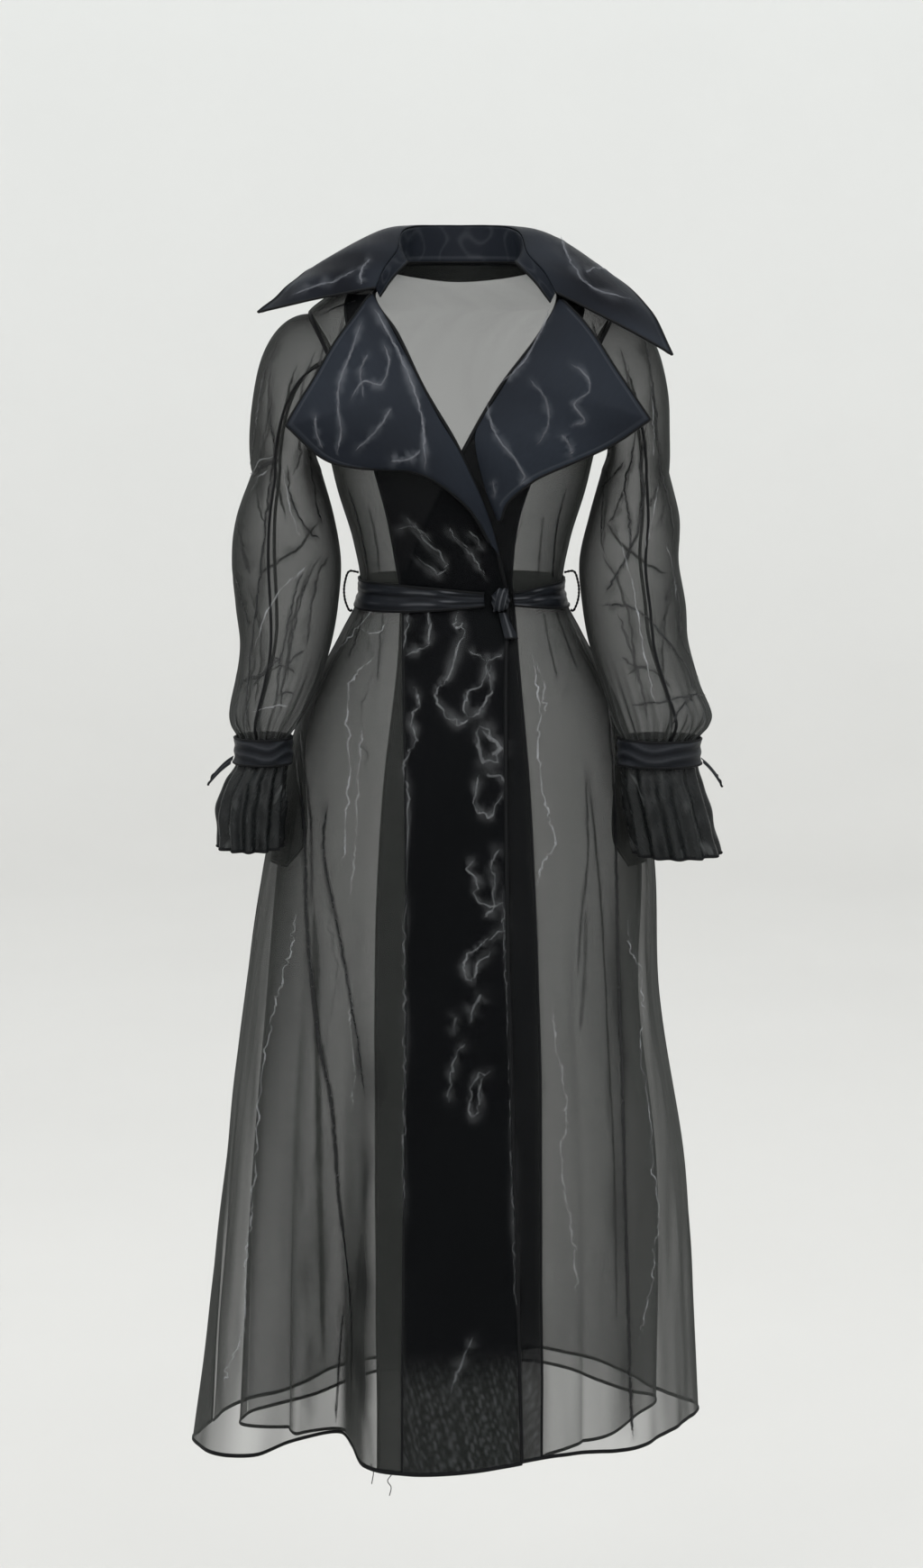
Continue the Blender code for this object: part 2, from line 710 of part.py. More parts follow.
# ---------------------------------------------------------------- sleeves
def armhole_point(sign, turn):
    """Point of the armhole, from its top round by the front, in degrees of turn."""
    radians = math.radians(turn)
    drop = ARM_DROP - ARM_HALF_HEIGHT * math.cos(radians)
    angle = SIDE - ARM_SPREAD * math.sin(radians)
    return body_point(sign * angle, drop, FOLDS)


def arm_point(table, sign, drop, turn):
    """Point of a sleeve or cuff section, from its outer side round by the front."""
    outer, inner, centre_y, half_depth = smooth_row(table, drop)
    radians = math.radians(turn)
    wave = smooth_row(WAVES, drop)[0] * math.cos(GATHERS * radians)
    half_width = 0.5 * (outer - inner) + wave
    x = 0.5 * (outer + inner) + half_width * math.cos(radians)
    y = centre_y - (half_depth + wave) * math.sin(radians)
    return Vector((sign * x, y, -drop))


def turns_round():
    return [FULL_TURN * step / TUBE_STEPS for step in range(TUBE_STEPS)]


def armhole_ring(sign):
    """Points of the sleeve head, on the straight sides between the armhole's own points."""
    step = FULL_TURN / ARM_STEPS
    corners = [armhole_point(sign, step * index) for index in range(ARM_STEPS)]
    ring = []
    for turn in turns_round():
        index = int(turn // step)
        after = corners[(index + 1) % ARM_STEPS]
        ring.append(corners[index].lerp(after, turn / step - index))
    centre = sum(ring, Vector()) / len(ring)
    return [centre + (point - centre) * ARM_SHRINK for point in ring]


FRONT_SEAM = 5             # columns of a sleeve at its two seams
BACK_SEAM = 19
SLEEVE_SEAM_GAP = 0.0004   # each edge from the middle of the seam
CAP_STEPS = (0.0, 0.10, 0.24, 0.42, 0.62, 0.82)
CAP_OUT = 0.176            # pull of the sleeve head out of the shoulder
CAP_DOWN = 0.144           # pull down into the arm
CAP_SLOPE = -0.08          # how steeply it leaves the shoulder
CAP_REACH = 0.19           # pieces of the sleeve head shorter than this curve less
CAP_LEAST = 0.35


def cap_point(start, end, sign, t):
    """From the armhole to the top of the arm: out of the shoulder, then down."""
    reach = (end - start).length
    near = min(reach / CAP_REACH, 1.0)
    scale = CAP_LEAST + (1.0 - CAP_LEAST) * near
    leave = Vector((sign * 1.0, 0.0, CAP_SLOPE)) * (CAP_OUT * scale)
    arrive = Vector((0.0, 0.0, -1.0)) * (CAP_DOWN * near)
    t2 = t * t
    t3 = t2 * t
    point = start * (2 * t3 - 3 * t2 + 1) + end * (3 * t2 - 2 * t3)
    return point + leave * (t3 - 2 * t2 + t) + arrive * (t3 - t2)


def seam_ends(row):
    """A row with its two ends drawn in from the seams."""
    first = row[0] + (row[1] - row[0]).normalized() * SLEEVE_SEAM_GAP
    last = row[-1] + (row[-2] - row[-1]).normalized() * SLEEVE_SEAM_GAP
    return [first] + row[1:-1] + [last]


def sleeve(side, table, sign):
    """Full sleeve in two pieces, from the armhole to the gathered wrist: an outer one and
    an under one, sewn together down the front and the back of the arm."""
    grid = []
    for t in CAP_STEPS:
        row = []
        for turn, start in zip(turns_round(), armhole_ring(sign)):
            end = arm_point(table, sign, table[0][0], turn)
            row.append(cap_point(start, end, sign, t))
        grid.append(row)
    for drop in [row[0] for row in table]:
        grid.append([arm_point(table, sign, drop, turn) for turn in turns_round()])
    under = [row[FRONT_SEAM:BACK_SEAM + 1] for row in grid]
    outer = [row[BACK_SEAM:] + row[:FRONT_SEAM + 1] for row in grid]
    for part, columns in (("outer", outer), ("under", under)):
        columns = [seam_ends(row) for row in columns]
        if sign > 0:
            columns = [row[::-1] for row in columns]
        sheet("sleeve_" + side + "_" + part, columns, WALL, "sheer_cloth", inward=True)


def cuff(name, table, sign):
    grid = []
    for drop in [row[0] for row in table]:
        grid.append([arm_point(table, sign, drop, turn) for turn in turns_round()])
    if sign > 0:
        grid = [row[::-1] for row in grid]
    sheet(name, grid, WALL, "opaque_cloth", closed=True, inward=True)


def strap(name, arm, table, sign):
    """Wrist strap: a band round the gathered wrist."""
    grid = []
    top_outer, top_inner, _, top_depth = smooth_row(arm, STRAP_DROPS[0])
    for drop in STRAP_DROPS:
        source = arm if drop < CUFF_TOP else table
        outer, inner, centre_y, half_depth = smooth_row(source, drop)
        half = max(outer - inner, top_outer - top_inner) * 0.5 + STRAP_STAND
        deep = max(half_depth, top_depth) + STRAP_STAND
        row = []
        for turn in turns_round():
            radians = math.radians(turn)
            x = 0.5 * (outer + inner) + half * math.cos(radians)
            row.append(Vector((sign * x, centre_y - deep * math.sin(radians), -drop)))
        grid.append(row)
    if sign > 0:
        grid = [row[::-1] for row in grid]
    sheet(name, grid, HEAVY_WALL, "opaque_cloth", closed=True)


TAIL_ARCH = 0.002          # rise of a strap tail between its ends
TAIL_ROOT = 0.8            # width at its root over its width at the end


def strap_tail(name, start, end, width):
    """Loose end of a wrist strap, hanging out from its outer side."""
    across = Vector((0.0, 0.5 * width, 0.0))
    grid = []
    for t in (0.0, 0.5, 1.0):
        middle = Vector(start).lerp(Vector(end), t)
        middle.z += TAIL_ARCH * math.sin(math.pi * t)
        row = []
        for side in (-1.0, 0.0, 1.0):
            row.append(middle + across * side * (TAIL_ROOT + (1.0 - TAIL_ROOT) * t))
        grid.append(row)
    sheet(name, grid, HEAVY_WALL, "opaque_cloth")


# ---------------------------------------------------------------- lapels and collar
def lapel(name, table, stand, lift, sign):
    """Lapel: a leaf from the roll line out to its edge and point, clear of what it lies on."""
    grid = []
    for roll_x, roll_drop, edge_x, edge_drop, edge_y, belly in table:
        angle = angle_at(roll_x, roll_drop)
        out = top_lift(angle, roll_drop, lift) + WALL + stand
        roll = Vector((roll_x, front_depth(roll_x, roll_drop) - out, -roll_drop))
        edge = Vector((edge_x, edge_y, -edge_drop))
        row = []
        for step in range(LAPEL_COLUMNS + 1):
            t = step / LAPEL_COLUMNS
            point = roll.lerp(edge, t)
            point.y -= belly * math.sin(math.pi * t) + LAPEL_BOW * t * (1.0 - t)
            row.append(point)
        grid.append(row)
    if sign < 0:
        grid = [row[::-1] for row in grid]
    sheet(name, grid, HEAVY_WALL, "opaque_cloth", even=False)


def collar():
    stand = []
    for lift in (0.0, 0.5, 1.0):
        row = []
        for foot_x, foot_y, foot_z, top_x, top_y, top_z in STAND:
            foot = Vector((foot_x, foot_y, foot_z))
            row.append(foot.lerp(Vector((top_x, top_y, top_z)), lift))
        stand.append(row)
    stand.reverse()
    stand = [row[::-1] for row in stand]
    sheet("collar_stand", stand, WALL, "opaque_cloth", inward=True)

    fall = []
    for step in range(FALL_COLUMNS + 1):
        t = step / FALL_COLUMNS
        row = []
        for (_, _, _, top_x, top_y, top_z), (x, y, z, puff) in zip(STAND, FALL):
            top = Vector((top_x, top_y, top_z + FALL_LIFT))
            point = top.lerp(Vector((x, y, z)), t)
            point.z += puff * math.sin(math.pi * t) ** FALL_CREST
            row.append(point)
        fall.append(row[::-1])
    sheet("collar_fall", fall, HEAVY_WALL, "opaque_cloth")


# ---------------------------------------------------------------- belt
KNOT_HALF = 8.0            # degrees taken by the knot
BELT_COLUMNS = 36
BELT_SIDE_ANGLES = (52.0, 88.0)  # the belt comes down off the lapped fronts between these
# degrees from the knot, half height of the belt
BELT_PINCH = (
    (0.0, 0.0060),
    (8.0, 0.0070),
    (30.0, 0.0120),
    (60.0, BELT_HALF),
    (180.0, BELT_HALF),
)


def belt_point(angle, down, out):
    """Point of the belt's inner face, down below the waist, moved out by a distance."""
    point = body_point(angle, WAIST_DROP, FOLDS)
    beside = body_point(angle + 1.0, WAIST_DROP, FOLDS)
    normal = (beside - point).cross(Vector((0.0, 0.0, 1.0))).normalized()
    turned = (angle + HALF_TURN) % FULL_TURN - HALF_TURN
    around = ease(*BELT_SIDE_ANGLES, abs(turned))
    lift = BELT_OFF * (1.0 - around) + (WALL + BELT_GAP) * around
    edge = body_point(angle, WAIST_DROP + math.copysign(BELT_HALF, down), FOLDS)
    point = point.lerp(edge, abs(down) / BELT_HALF) + normal * (lift + out)
    return point


def belt():
    start = KNOT_ANGLE + KNOT_HALF
    angles = spread(start, start + FULL_TURN - 2.0 * KNOT_HALF, BELT_COLUMNS, 1.0)
    grid = []
    for height in (-1.0, 0.0, 1.0):
        row = []
        for angle in angles:
            apart = min(angle - KNOT_ANGLE, KNOT_ANGLE + FULL_TURN - angle)
            half = smooth_row(BELT_PINCH, apart)[0]
            row.append(belt_point(angle, height * half, 0.0))
        grid.append(row)
    sheet("belt", grid, HEAVY_WALL, "belt_cloth")


KNOT_SIZE = (0.0125, 0.0075, 0.0125)    # half sizes
KNOT_SQUARE = 0.8          # exponent that makes the knot's lump blockier than a ball
KNOT_TWIST = 0.10          # how far its wraps stand out
KNOT_REACH = 1.12          # its lowest point, as a share of its half height
TAIL_LENGTH = 0.028
TAIL_STAND = 0.0035        # the tail off the skirt
TAIL_STEPS = (0.0, 0.35, 0.7, 1.0)
TAIL_LEAN = 2.0            # degrees that the tail drifts, at its root and again at its end
TAIL_HALF = (2.0, 1.5)     # half width at its root in degrees, and what its end adds


def knot():
    """The knot: a pulled-tight lump of cloth, flat toward the coat."""
    centre = belt_point(KNOT_ANGLE, 0.0, KNOT_SIZE[1])
    bpy.ops.mesh.primitive_uv_sphere_add(segments=12, ring_count=8, radius=1.0)
    obj = bpy.context.active_object
    mesh = obj.data
    bpy.data.objects.remove(obj)
    for vertex in mesh.vertices:
        wrap = 1.0 + KNOT_TWIST * math.sin(3.0 * vertex.co.z + 2.0 * vertex.co.x)
        vertex.co.x = power(vertex.co.x, KNOT_SQUARE) * KNOT_SIZE[0] * wrap + centre.x
        vertex.co.y = power(vertex.co.y, KNOT_SQUARE) * KNOT_SIZE[1] + centre.y
        vertex.co.z = power(vertex.co.z, KNOT_SQUARE) * KNOT_SIZE[2] + centre.z
    mesh.name = "belt_knot"
    link("belt_knot", mesh, "belt_cloth")

    start = WAIST_DROP + KNOT_SIZE[2] * KNOT_REACH + SEAM_GAP
    grid = []
    for t in TAIL_STEPS:
        drop = start + TAIL_LENGTH * t
        row = []
        for side in (-1.0, 0.0, 1.0):
            half = TAIL_HALF[0] + TAIL_HALF[1] * t
            angle = KNOT_ANGLE + TAIL_LEAN * (1.0 + t) + side * half
            skirt = body_point(angle, drop, FOLDS)
            row.append(skirt + Vector((0.0, -TOP_OFF - WALL - TAIL_STAND, 0.0)))
        grid.append(row)
    sheet("belt_tail", grid, WALL, "belt_cloth")


LOOP_RADIUS = 0.0010
LOOP_CLEAR = 0.0045        # the thread's nearest line off the belt
# drop from the waist, distance out from the belt's inner face
LOOP = (
    (-0.0215, -0.0005),
    (-0.0225, 0.0060),
    (-0.0120, 0.0105),
    (0.0000, 0.0120),
    (0.0120, 0.0105),
    (0.0225, 0.0060),
    (0.0215, -0.0005),
)


def belt_loop(name, sign):
    """Thread carrier at the side seam, standing off round the belt."""
    points = []
    for down, out in LOOP:
        drop = WAIST_DROP + down
        side = body_point(sign * SIDE, drop, FOLDS)
        waist = body_point(sign * SIDE, WAIST_DROP, FOLDS)
        foot = side.x + sign * (WALL + LOOP_RADIUS + SEAM_GAP)
        far = waist.x + sign * (WALL + HEAVY_WALL + LOOP_CLEAR + out)
        x = foot if out < 0.0 else far
        points.append(Vector((x, side.y, -drop)))
    cord(name, points, LOOP_RADIUS, "thread")


# ---------------------------------------------------------------- build
def clear_scene():
    for obj in list(bpy.data.objects):
        bpy.data.objects.remove(obj)


def build():
    fronts()
    back_panels()
    sleeve("right", ARM_R, -1)
    sleeve("left", ARM_L, 1)
    cuff("cuff_right", CUFF_R, -1)
    cuff("cuff_left", CUFF_L, 1)
    strap("strap_right", ARM_R, CUFF_R, -1)
    strap("strap_left", ARM_L, CUFF_L, 1)
    strap_tail("strap_tail_right", *TAIL_R, TAIL_WIDTH)
    strap_tail("strap_tail_left", *TAIL_L, TAIL_WIDTH)
    lapel("lapel_right", LAPEL_R, LAPEL_STAND, TOP_OFF, -1)
    lapel("lapel_left", LAPEL_L, UNDER_LAPEL_STAND, 0.0, 1)
    collar()
    belt()
    knot()
    belt_loop("belt_loop_right", -1)
    belt_loop("belt_loop_left", 1)


clear_scene()
COAT = collection("chiffon_coat")
build()
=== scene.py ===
"""Looks of the sheer wrap coat: thin shells on the forms of its solids, with their creases,
gathers, rolled hems and seams. Metres, +Z up, the coat faces -Y. "Drop" is the distance
below the origin, and angles are in degrees from the front, + toward +X. A sign is -1 for
the wearer's right, at -X, and 1 for the left."""
import math
import bpy
import numpy as np
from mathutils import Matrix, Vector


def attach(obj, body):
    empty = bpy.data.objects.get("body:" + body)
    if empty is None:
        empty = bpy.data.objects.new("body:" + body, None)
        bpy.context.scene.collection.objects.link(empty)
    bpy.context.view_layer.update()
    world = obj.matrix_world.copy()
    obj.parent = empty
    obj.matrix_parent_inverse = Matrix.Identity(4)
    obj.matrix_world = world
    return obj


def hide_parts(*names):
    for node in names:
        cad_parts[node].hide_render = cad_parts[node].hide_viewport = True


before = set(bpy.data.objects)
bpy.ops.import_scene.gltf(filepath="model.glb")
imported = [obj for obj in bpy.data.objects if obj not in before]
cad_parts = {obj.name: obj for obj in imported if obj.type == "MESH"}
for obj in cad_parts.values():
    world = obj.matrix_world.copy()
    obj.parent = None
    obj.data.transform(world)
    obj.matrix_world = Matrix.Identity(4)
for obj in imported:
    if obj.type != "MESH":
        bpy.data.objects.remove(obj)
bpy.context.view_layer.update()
RIGHT, LEFT = -1, 1
SIDE = {RIGHT: "right", LEFT: "left"}


def scaled(*rows, first=1000.0):
    """A table in metres from rows in millimetres; with first=1 its first column is degrees."""
    units = np.full(len(rows[0]), 1000.0)
    units[0] = first
    return np.array(rows) / units


# ---------------------------------------------------------------- driving sizes
WALL = 0.0012              # sheer cloth, as thick as in the solids
HEAVY_WALL = 0.0020        # doubled cloth in the solids
DOUBLE = 0.0009            # doubled cloth here
BAND = 0.0010              # belt and straps here
SEAM_GAP = 0.0004
SIDE_GAP = 0.0010
TOP_DROP = 0.006
HEM_DROP = 1.345
ARM_DROP = 0.133           # centre of an armhole
ARM_HALF = 0.075
ARM_SPREAD = 38.0
ARM_SHRINK = 0.975
WAIST_DROP = 0.376
SQUARE = 0.889             # power that squares off the body's ovals
FACING_OFF = -(WALL + SEAM_GAP)
POCKET_OFF = FACING_OFF - 0.0004
BACK_LINING_OFF = FACING_OFF - 0.0018
TOP_OFF = WALL + 0.0025 + WALL + SEAM_GAP
LAP = {RIGHT: TOP_OFF, LEFT: 0.0}          # the right front laps over the left
BELT_OFF = TOP_OFF + WALL + 0.0012
LINING_TOP = 0.034         # drop where facings and linings begin
LINING_COVER = 0.36
LINING_ROOM = 0.0046       # it hangs so far inside the coat below the waist
LINING_INSET = 0.012       # and so much further down the skirt
GATHERS = 12
CAP_LEAVE, CAP_ARRIVE = 0.176, 0.144       # how straight a sleeve leaves its armhole
CAP_REACH = 0.19           # and from what length on, both in full
CAP_PUFF = 0.008
CREST_RISE, FOLD_SINK = 0.0011, 0.0012
BROAD_FOLD = 8.0           # mm; on the fronts wider dark folds get no strip, only painted shade and more cover on the cloth
STRIP_STEP = 0.0022
# ribs: half width and half height
HEM_RIB = (0.0023, 0.0011)
SIDE_RIB = (0.0024, 0.0010)
SOFT_RIB = (0.0021, 0.0010)                # lining hems and the heads of sleeves
THIN_RIB = (0.0012, 0.0007)
FACING_RIB = (0.0014, 0.0007)
POCKET_RIB = (0.0018, 0.0007)
SEAM_RIB = (0.0017, 0.0009)
CUFF_RIB = (0.0013, 0.0011)
STRAP_RIB = (0.0010, 0.0010)
BELT_RIB = (0.0010, 0.0009)
LAPEL_RIB = (0.0012, 0.0011)
STAND_RIB = (0.0012, 0.0009)
# how strips lie: off the sheet, how far they stray, how wide and how unbroken they are
LOOSE_STRIP = {"sharp": 0.0009}
FOLD_STRIP = {"sharp": 0.0002, "wide": 1.5, "steady": 0.8}
SLEEVE_STRIP = {"lift": 0.0004, "sharp": 0.0004, "wide": 1.3, "steady": 0.7}
SLEEVE_CREST = {"lift": 0.0005, "sharp": 0.0004, "wide": 1.2}
SATIN_STRIP = {"lift": 0.0007, "sharp": 0.0003, "wide": 1.1, "steady": 0.6}

# drop, centre x, half width, front depth, back depth
BODY = scaled(
    (0, 0, 72, 42, 56), (15, 0, 102, 50, 64), (30, 0, 132, 60, 70), (45, 0, 156, 69, 77),
    (60, 0, 173, 77, 84), (90, 0, 179, 92, 94), (130, 0, 175, 108, 102),
    (170, 0, 165, 119, 104), (210, 0, 152, 125, 101), (260, 0, 140, 119, 94),
    (320, 0, 122, 102, 87), (376, 0, 115, 91, 83), (420, 0, 135, 103, 100),
    (500, 0, 177, 126, 130), (580, -1, 203, 145, 148), (690, -2.5, 224, 160, 160),
    (845, -11, 238, 178, 172), (1060, -9, 264, 197, 186), (1345, -16, 280, 214, 198),
)
# angle, sideways and forward drift of the hem, drop where the fold starts
FOLDS = scaled(
    (-90, 4, -60, 500), (-70, -27, -45, 500), (-58, -22, -53, 500), (-48, -9, -28, 550),
    (-39, -4, 39, 620), (-32, 13, 90, 660), (-26.5, 18, 98, 660), (-22, 14, 50, 660),
    (-18, 8, -12, 660), (-8, 6, -33, 600), (2, 2, -26, 550), (14, 0, 0, 550), (30, 0, 14, 600),
    (46, 0, -6, 600), (68, 7, 12, 500), (90, 12, -2, 500), (105, -12, -15, 500),
    (120, -16, -12, 600), (135, -8, 8, 600), (150, 4, 20, 600), (164, 12, 26, 600),
    (180, 14, -36, 700), (193, 8, -8, 600), (210, 20, -22, 600), (225, 36, -56, 600),
    (238, 40, -64, 600), (252, 30, -52, 550), (270, 4, -60, 500),
    first=1.0)
LINING_FOLDS = scaled(
    (-90, 26, -38, 500), (-72, 10, -4, 500), (-56, 20, 36, 550), (-44, 26, 76, 620),
    (-34, 20, 140, 660), (-26, 16, 150, 660), (-18, 12, 40, 660), (0, 4, 10, 600),
    (22, 18, 60, 600), (34, -4, 34, 600), (48, -14, 26, 600), (68, -20, 50, 500),
    (90, -14, 24, 500), (110, -30, -22, 500), (128, -30, -28, 600), (146, -14, -12, 600),
    (164, -2, -6, 600), (180, 14, -76, 700), (196, 16, -40, 600), (214, 40, -56, 600),
    (234, 56, -80, 600), (252, 46, -70, 550), (270, 26, -38, 500),
    first=1.0)
# drop, then x of: under front's edge, top facing's inner edge, top front's edge, under
# facing's inner edge
FRONT_EDGES = scaled(
    (0, 62, -71.5, -62, 71.5), (20, 90, -102, -82, 106), (40, 108, -128, -98, 135),
    (80, 88, -126, -72, 130), (140, 42, -112, -42, 112), (208, 2, -99, -2, 90),
    (283, -36, -80, 29, 64), (352, -62, -68, 46, 56), (376, -66, -64, 50, 58),
    (450, -70, -64, 49, 64), (580, -85, -62, 49, 75), (720, -93, -61, 50, 82),
    (900, -95, -62, 54, 88), (1100, -95, -64, 60, 90), (1345, -94, -66, 66, 92),
)
# drop, depth of the wrist gathers and cuff ruffles
WAVES = scaled((455, 0), (500, 1.2), (529, 2.2), (560, 2.2), (580, 2.6), (654, 4.2))
# drop, outer x, inner x, centre y, half depth
ARM = {RIGHT: scaled(
    (240, 240, 159, 0, 62), (290, 258, 145, -5, 66), (340, 264, 137, -12, 67),
    (390, 258, 140, -30, 66), (430, 253, 147, -48, 64), (470, 257, 159, -68, 60),
    (505, 261, 176, -86, 52), (519, 258, 186, -94, 43), (529, 251.5, 194, -99, 33),
    (537, 250, 196, -100, 31),
), LEFT: scaled(
    (240, 237, 159, 0, 62), (290, 249, 145, -5, 66), (340, 250, 134, -12, 67),
    (390, 256, 137, -32, 66), (430, 258, 144, -54, 64), (470, 269, 157, -78, 61),
    (505, 281, 168, -97, 55), (519, 276, 174, -104, 47), (529, 266, 180, -108, 39),
    (537, 262, 182, -110, 36),
)}
CUFF = {RIGHT: scaled(
    (537.4, 250, 196, -100, 31), (560, 252, 196, -101, 33), (580, 264, 199, -103, 37),
    (612, 274, 200, -105, 41), (654, 272, 204, -108, 43),
), LEFT: scaled(
    (537.4, 262, 182, -110, 36), (560, 264, 181, -111, 37), (580, 269, 181, -113, 40),
    (612, 278, 186, -115, 43), (660, 289, 196, -118, 46),
)}
CUFF_TOP = CUFF[RIGHT][0][0]
STRAP_TOP, STRAP_END = 0.531, 0.559
STRAP_STAND = 0.0036
TAIL = {RIGHT: scaled((-259, -104, -556), (-283, -106, -578)),
        LEFT: scaled((272, -114, -556), (291, -116, -578))}
TAIL_WIDTH = 0.016
# roll x, roll drop, edge x, edge drop, edge y, belly
LAPEL = {RIGHT: scaled(
    (-100, 38, -103, 38.5, -60, 0), (-83, 66, -142, 93, -85, 4),
    (-64, 100, -170, 140, -102, 8), (-43, 140, -194, 180, -118, 10),
    (-24, 174, -153, 216, -120, 10), (-4, 206, -112, 227, -129, 9),
    (10, 235, -66, 227, -137, 6), (22, 262, -26, 242, -139, 4), (32, 290, 8, 270, -132, 2),
    (41, 325, 31, 310, -116, 0),
), LEFT: scaled(
    (110, 43, 113, 43.5, -62, 0), (96, 68, 144, 78, -82, 4), (78, 96, 176, 126, -100, 8),
    (56, 124, 209, 174, -114, 10), (40, 148, 170, 200, -116, 9), (24, 172, 125, 220, -122, 7),
    (15, 196, 82, 240, -127, 4), (26, 246, 52, 264, -124, 1), (41, 285, 44, 286, -120, 0),
)}
LAPEL_TIP = 3              # row of a lapel's point
LAPEL_STAND = {RIGHT: 0.0030, LEFT: 0.0022}
# foot x y z, top x y z
STAND = scaled(
    (-92, -52, -40, -96, -58, -31), (-77, -44, -19, -87, -49, -10),
    (-62, -24, -3, -73, -26, 10), (-66, 6, -3.5, -68, 8, 30), (-54, 33, -3.5, -54, 38, 36),
    (-29, 50, -3.5, -29, 56, 37), (0, 54, -3.5, 0, 61, 37), (29, 50, -3.5, 29, 56, 37),
    (54, 33, -3.5, 54, 38, 35), (66, 6, -3.5, 68, 8, 27), (62, -24, -3, 75, -26, 6),
    (82, -46, -23, 93, -50, -14), (100, -56, -46, 105, -61, -36),
)
# outer edge x y z, puff
FALL = scaled(
    (-226, -78, -58, 2), (-197, -40, -33, 8), (-166, 6, -10, 14), (-134, 50, -6, 16),
    (-96, 82, -12, 14), (-46, 101, -22, 10), (0, 106, -26, 8), (46, 101, -22, 10),
    (98, 82, -12, 14), (142, 50, -8, 16), (178, 6, -24, 12), (213, -40, -60, 8),
    (234, -82, -105, 2),
)
# drop, angle of its inner edge
POCKET = ((0.43, 80.0), (0.48, 73.0), (0.54, 66.0), (0.6, 55.0), (0.65, 51.0), (0.68, 58.0))
POCKET_SIDE = 88.0
KNOT_ANGLE = 18.0
KNOT_HALF = 8.0
KNOT_SIZE = (0.0125, 0.0075, 0.0125)
BELT_HALF = 0.0150
# angle from the knot, half the belt's height
BELT_PINCH = scaled((0, 6), (8, 7), (30, 12), (60, 15), (180, 15), first=1.0)
TAIL_DROP, TAIL_STAND = 0.028, 0.0035      # the belt's tail
# down from the waist, out from the belt
LOOP = scaled((-21.5, -0.5), (-22.5, 6), (-12, 10.5), (0, 12), (12, 10.5), (22.5, 6), (21.5, -0.5))
LOOP_STAND = 0.0045
LOOP_RADIUS = 0.0012
# start beside the hem's corner, then the bends' x and drop from there
FRAYS = ((-0.171, (0.003, 0.010), (0.001, 0.024)),
         (-0.150, (0.004, 0.010), (-0.002, 0.020), (0.002, 0.028), (0.0, 0.038)))

# ---------------------------------------------------------------- creases
# Each row, in mm: width, strength (0 to 1), then x and drop of each place it runs through
# Their crests lift the cloth and get painted highlights: a paler colour and pale strips.
PANEL_CREASES = (
    (3.0, 0.8, -56, 375, -65, 430),
    (3.0, 0.9, -40, 375, -36, 423, -63, 439),
    (3.4, 0.9, 1, 375, -8, 407, 3, 405, -13, 456, -29, 481, -6, 511, 10, 504),
    (2.6, 0.7, 6, 432, 29, 441, 49, 435),
    (3.0, 0.9, 29, 441, 24, 466, 6, 481, 8, 502, 24, 496, 33, 471, 29, 445),
    (5.5, 0.7, 17, 511, 36, 526, 44, 541, 28, 554, 19, 536, 17, 511),
    (6.0, 0.6, 24, 518, 40, 532, 36, 548),
    (3.2, 0.9, 19, 567, 15, 599, 29, 612, 47, 588),
    (4.0, 0.6, 28, 563, 40, 569, 48, 573),
    (3.2, 0.8, 15, 659, 7, 671, 17, 684, 15, 702, 33, 712, 48, 706),
    (3.4, 0.7, 42, 649, 33, 664, 36, 684, 33, 716, 25, 725),
    (3.2, 0.9, 52, 736, 28, 751, 8, 766, 4, 782, 11, 797, 18, 778, 33, 761),
    (4.4, 0.6, 24, 811, 14, 825, 9, 843),
    (4.0, 0.5, -5, 834, -9, 844, -7, 855),
    (3.4, 0.6, 2, 862, -7, 880, -12, 906, -14, 931),
    (3.4, 0.6, 30, 895, 16, 903, 8, 922, 13, 946, 21, 932, 19, 913, 30, 895),
    (3.6, 0.6, 13, 1193, -2, 1223, -12, 1255),
    (3.0, 0.8, -56, 468, -47, 491, -56, 507, -51, 530, -65, 560, -59, 595, -62, 693),
    (3.0, 0.6, -62, 693, -64, 772, -63, 854, -65, 960, -64, 1060),
    (2.6, 0.5, 46, 690, 49, 780, 54, 900, 58, 1050, 62, 1190),
    (3.0, 0.7, -72, 298, -57, 293, -42, 308, -22, 328, -17, 340, -25, 346, -42, 336, -54, 326),
    (2.6, 0.6, -62, 283, -50, 293, -32, 308),
    (2.8, 0.7, -16, 293, -4, 308, 8, 320, 18, 336, 28, 353),
    (2.6, 0.6, 8, 298, 18, 310, 26, 320),
)
SKIRT_CREASES = (
    (3.6, 0.9, -97, 388, -114, 408, -130, 428, -146, 449),
    (3.4, 0.9, -100, 442, -115, 457, -124, 472, -128, 507, -125, 558, -129, 609, -130, 645,
     -132, 671),
    (3.0, 0.7, -84, 406, -100, 418, -114, 412),
    (3.0, 0.5, -108, 507, -115, 558, -117, 609, -121, 671, -126, 712),
    (3.2, 0.8, -188, 725, -190, 758, -203, 805, -213, 844, -226, 919, -234, 1024, -239, 1077,
     -244, 1127, -250, 1204, -265, 1247, -273, 1285),
    (3.0, 0.4, -122, 800, -124, 846, -120, 898, -123, 951),
    (3.4, 0.9, 78, 432, 88, 497, 87, 558, 95, 609, 105, 645, 89, 671, 85, 696),
    (3.0, 0.6, 84, 447, 94, 477, 92, 507),
    (3.2, 0.8, 190, 732, 189, 763, 203, 805, 208, 846, 204, 887, 214, 959, 219, 1024,
     227, 1090, 221, 1114, 219, 1151, 209, 1194, 203, 1227),
    (3.2, 0.5, 103, 821, 105, 867, 115, 919, 118, 956, 112, 997, 119, 1056, 127, 1109,
     132, 1172),
)
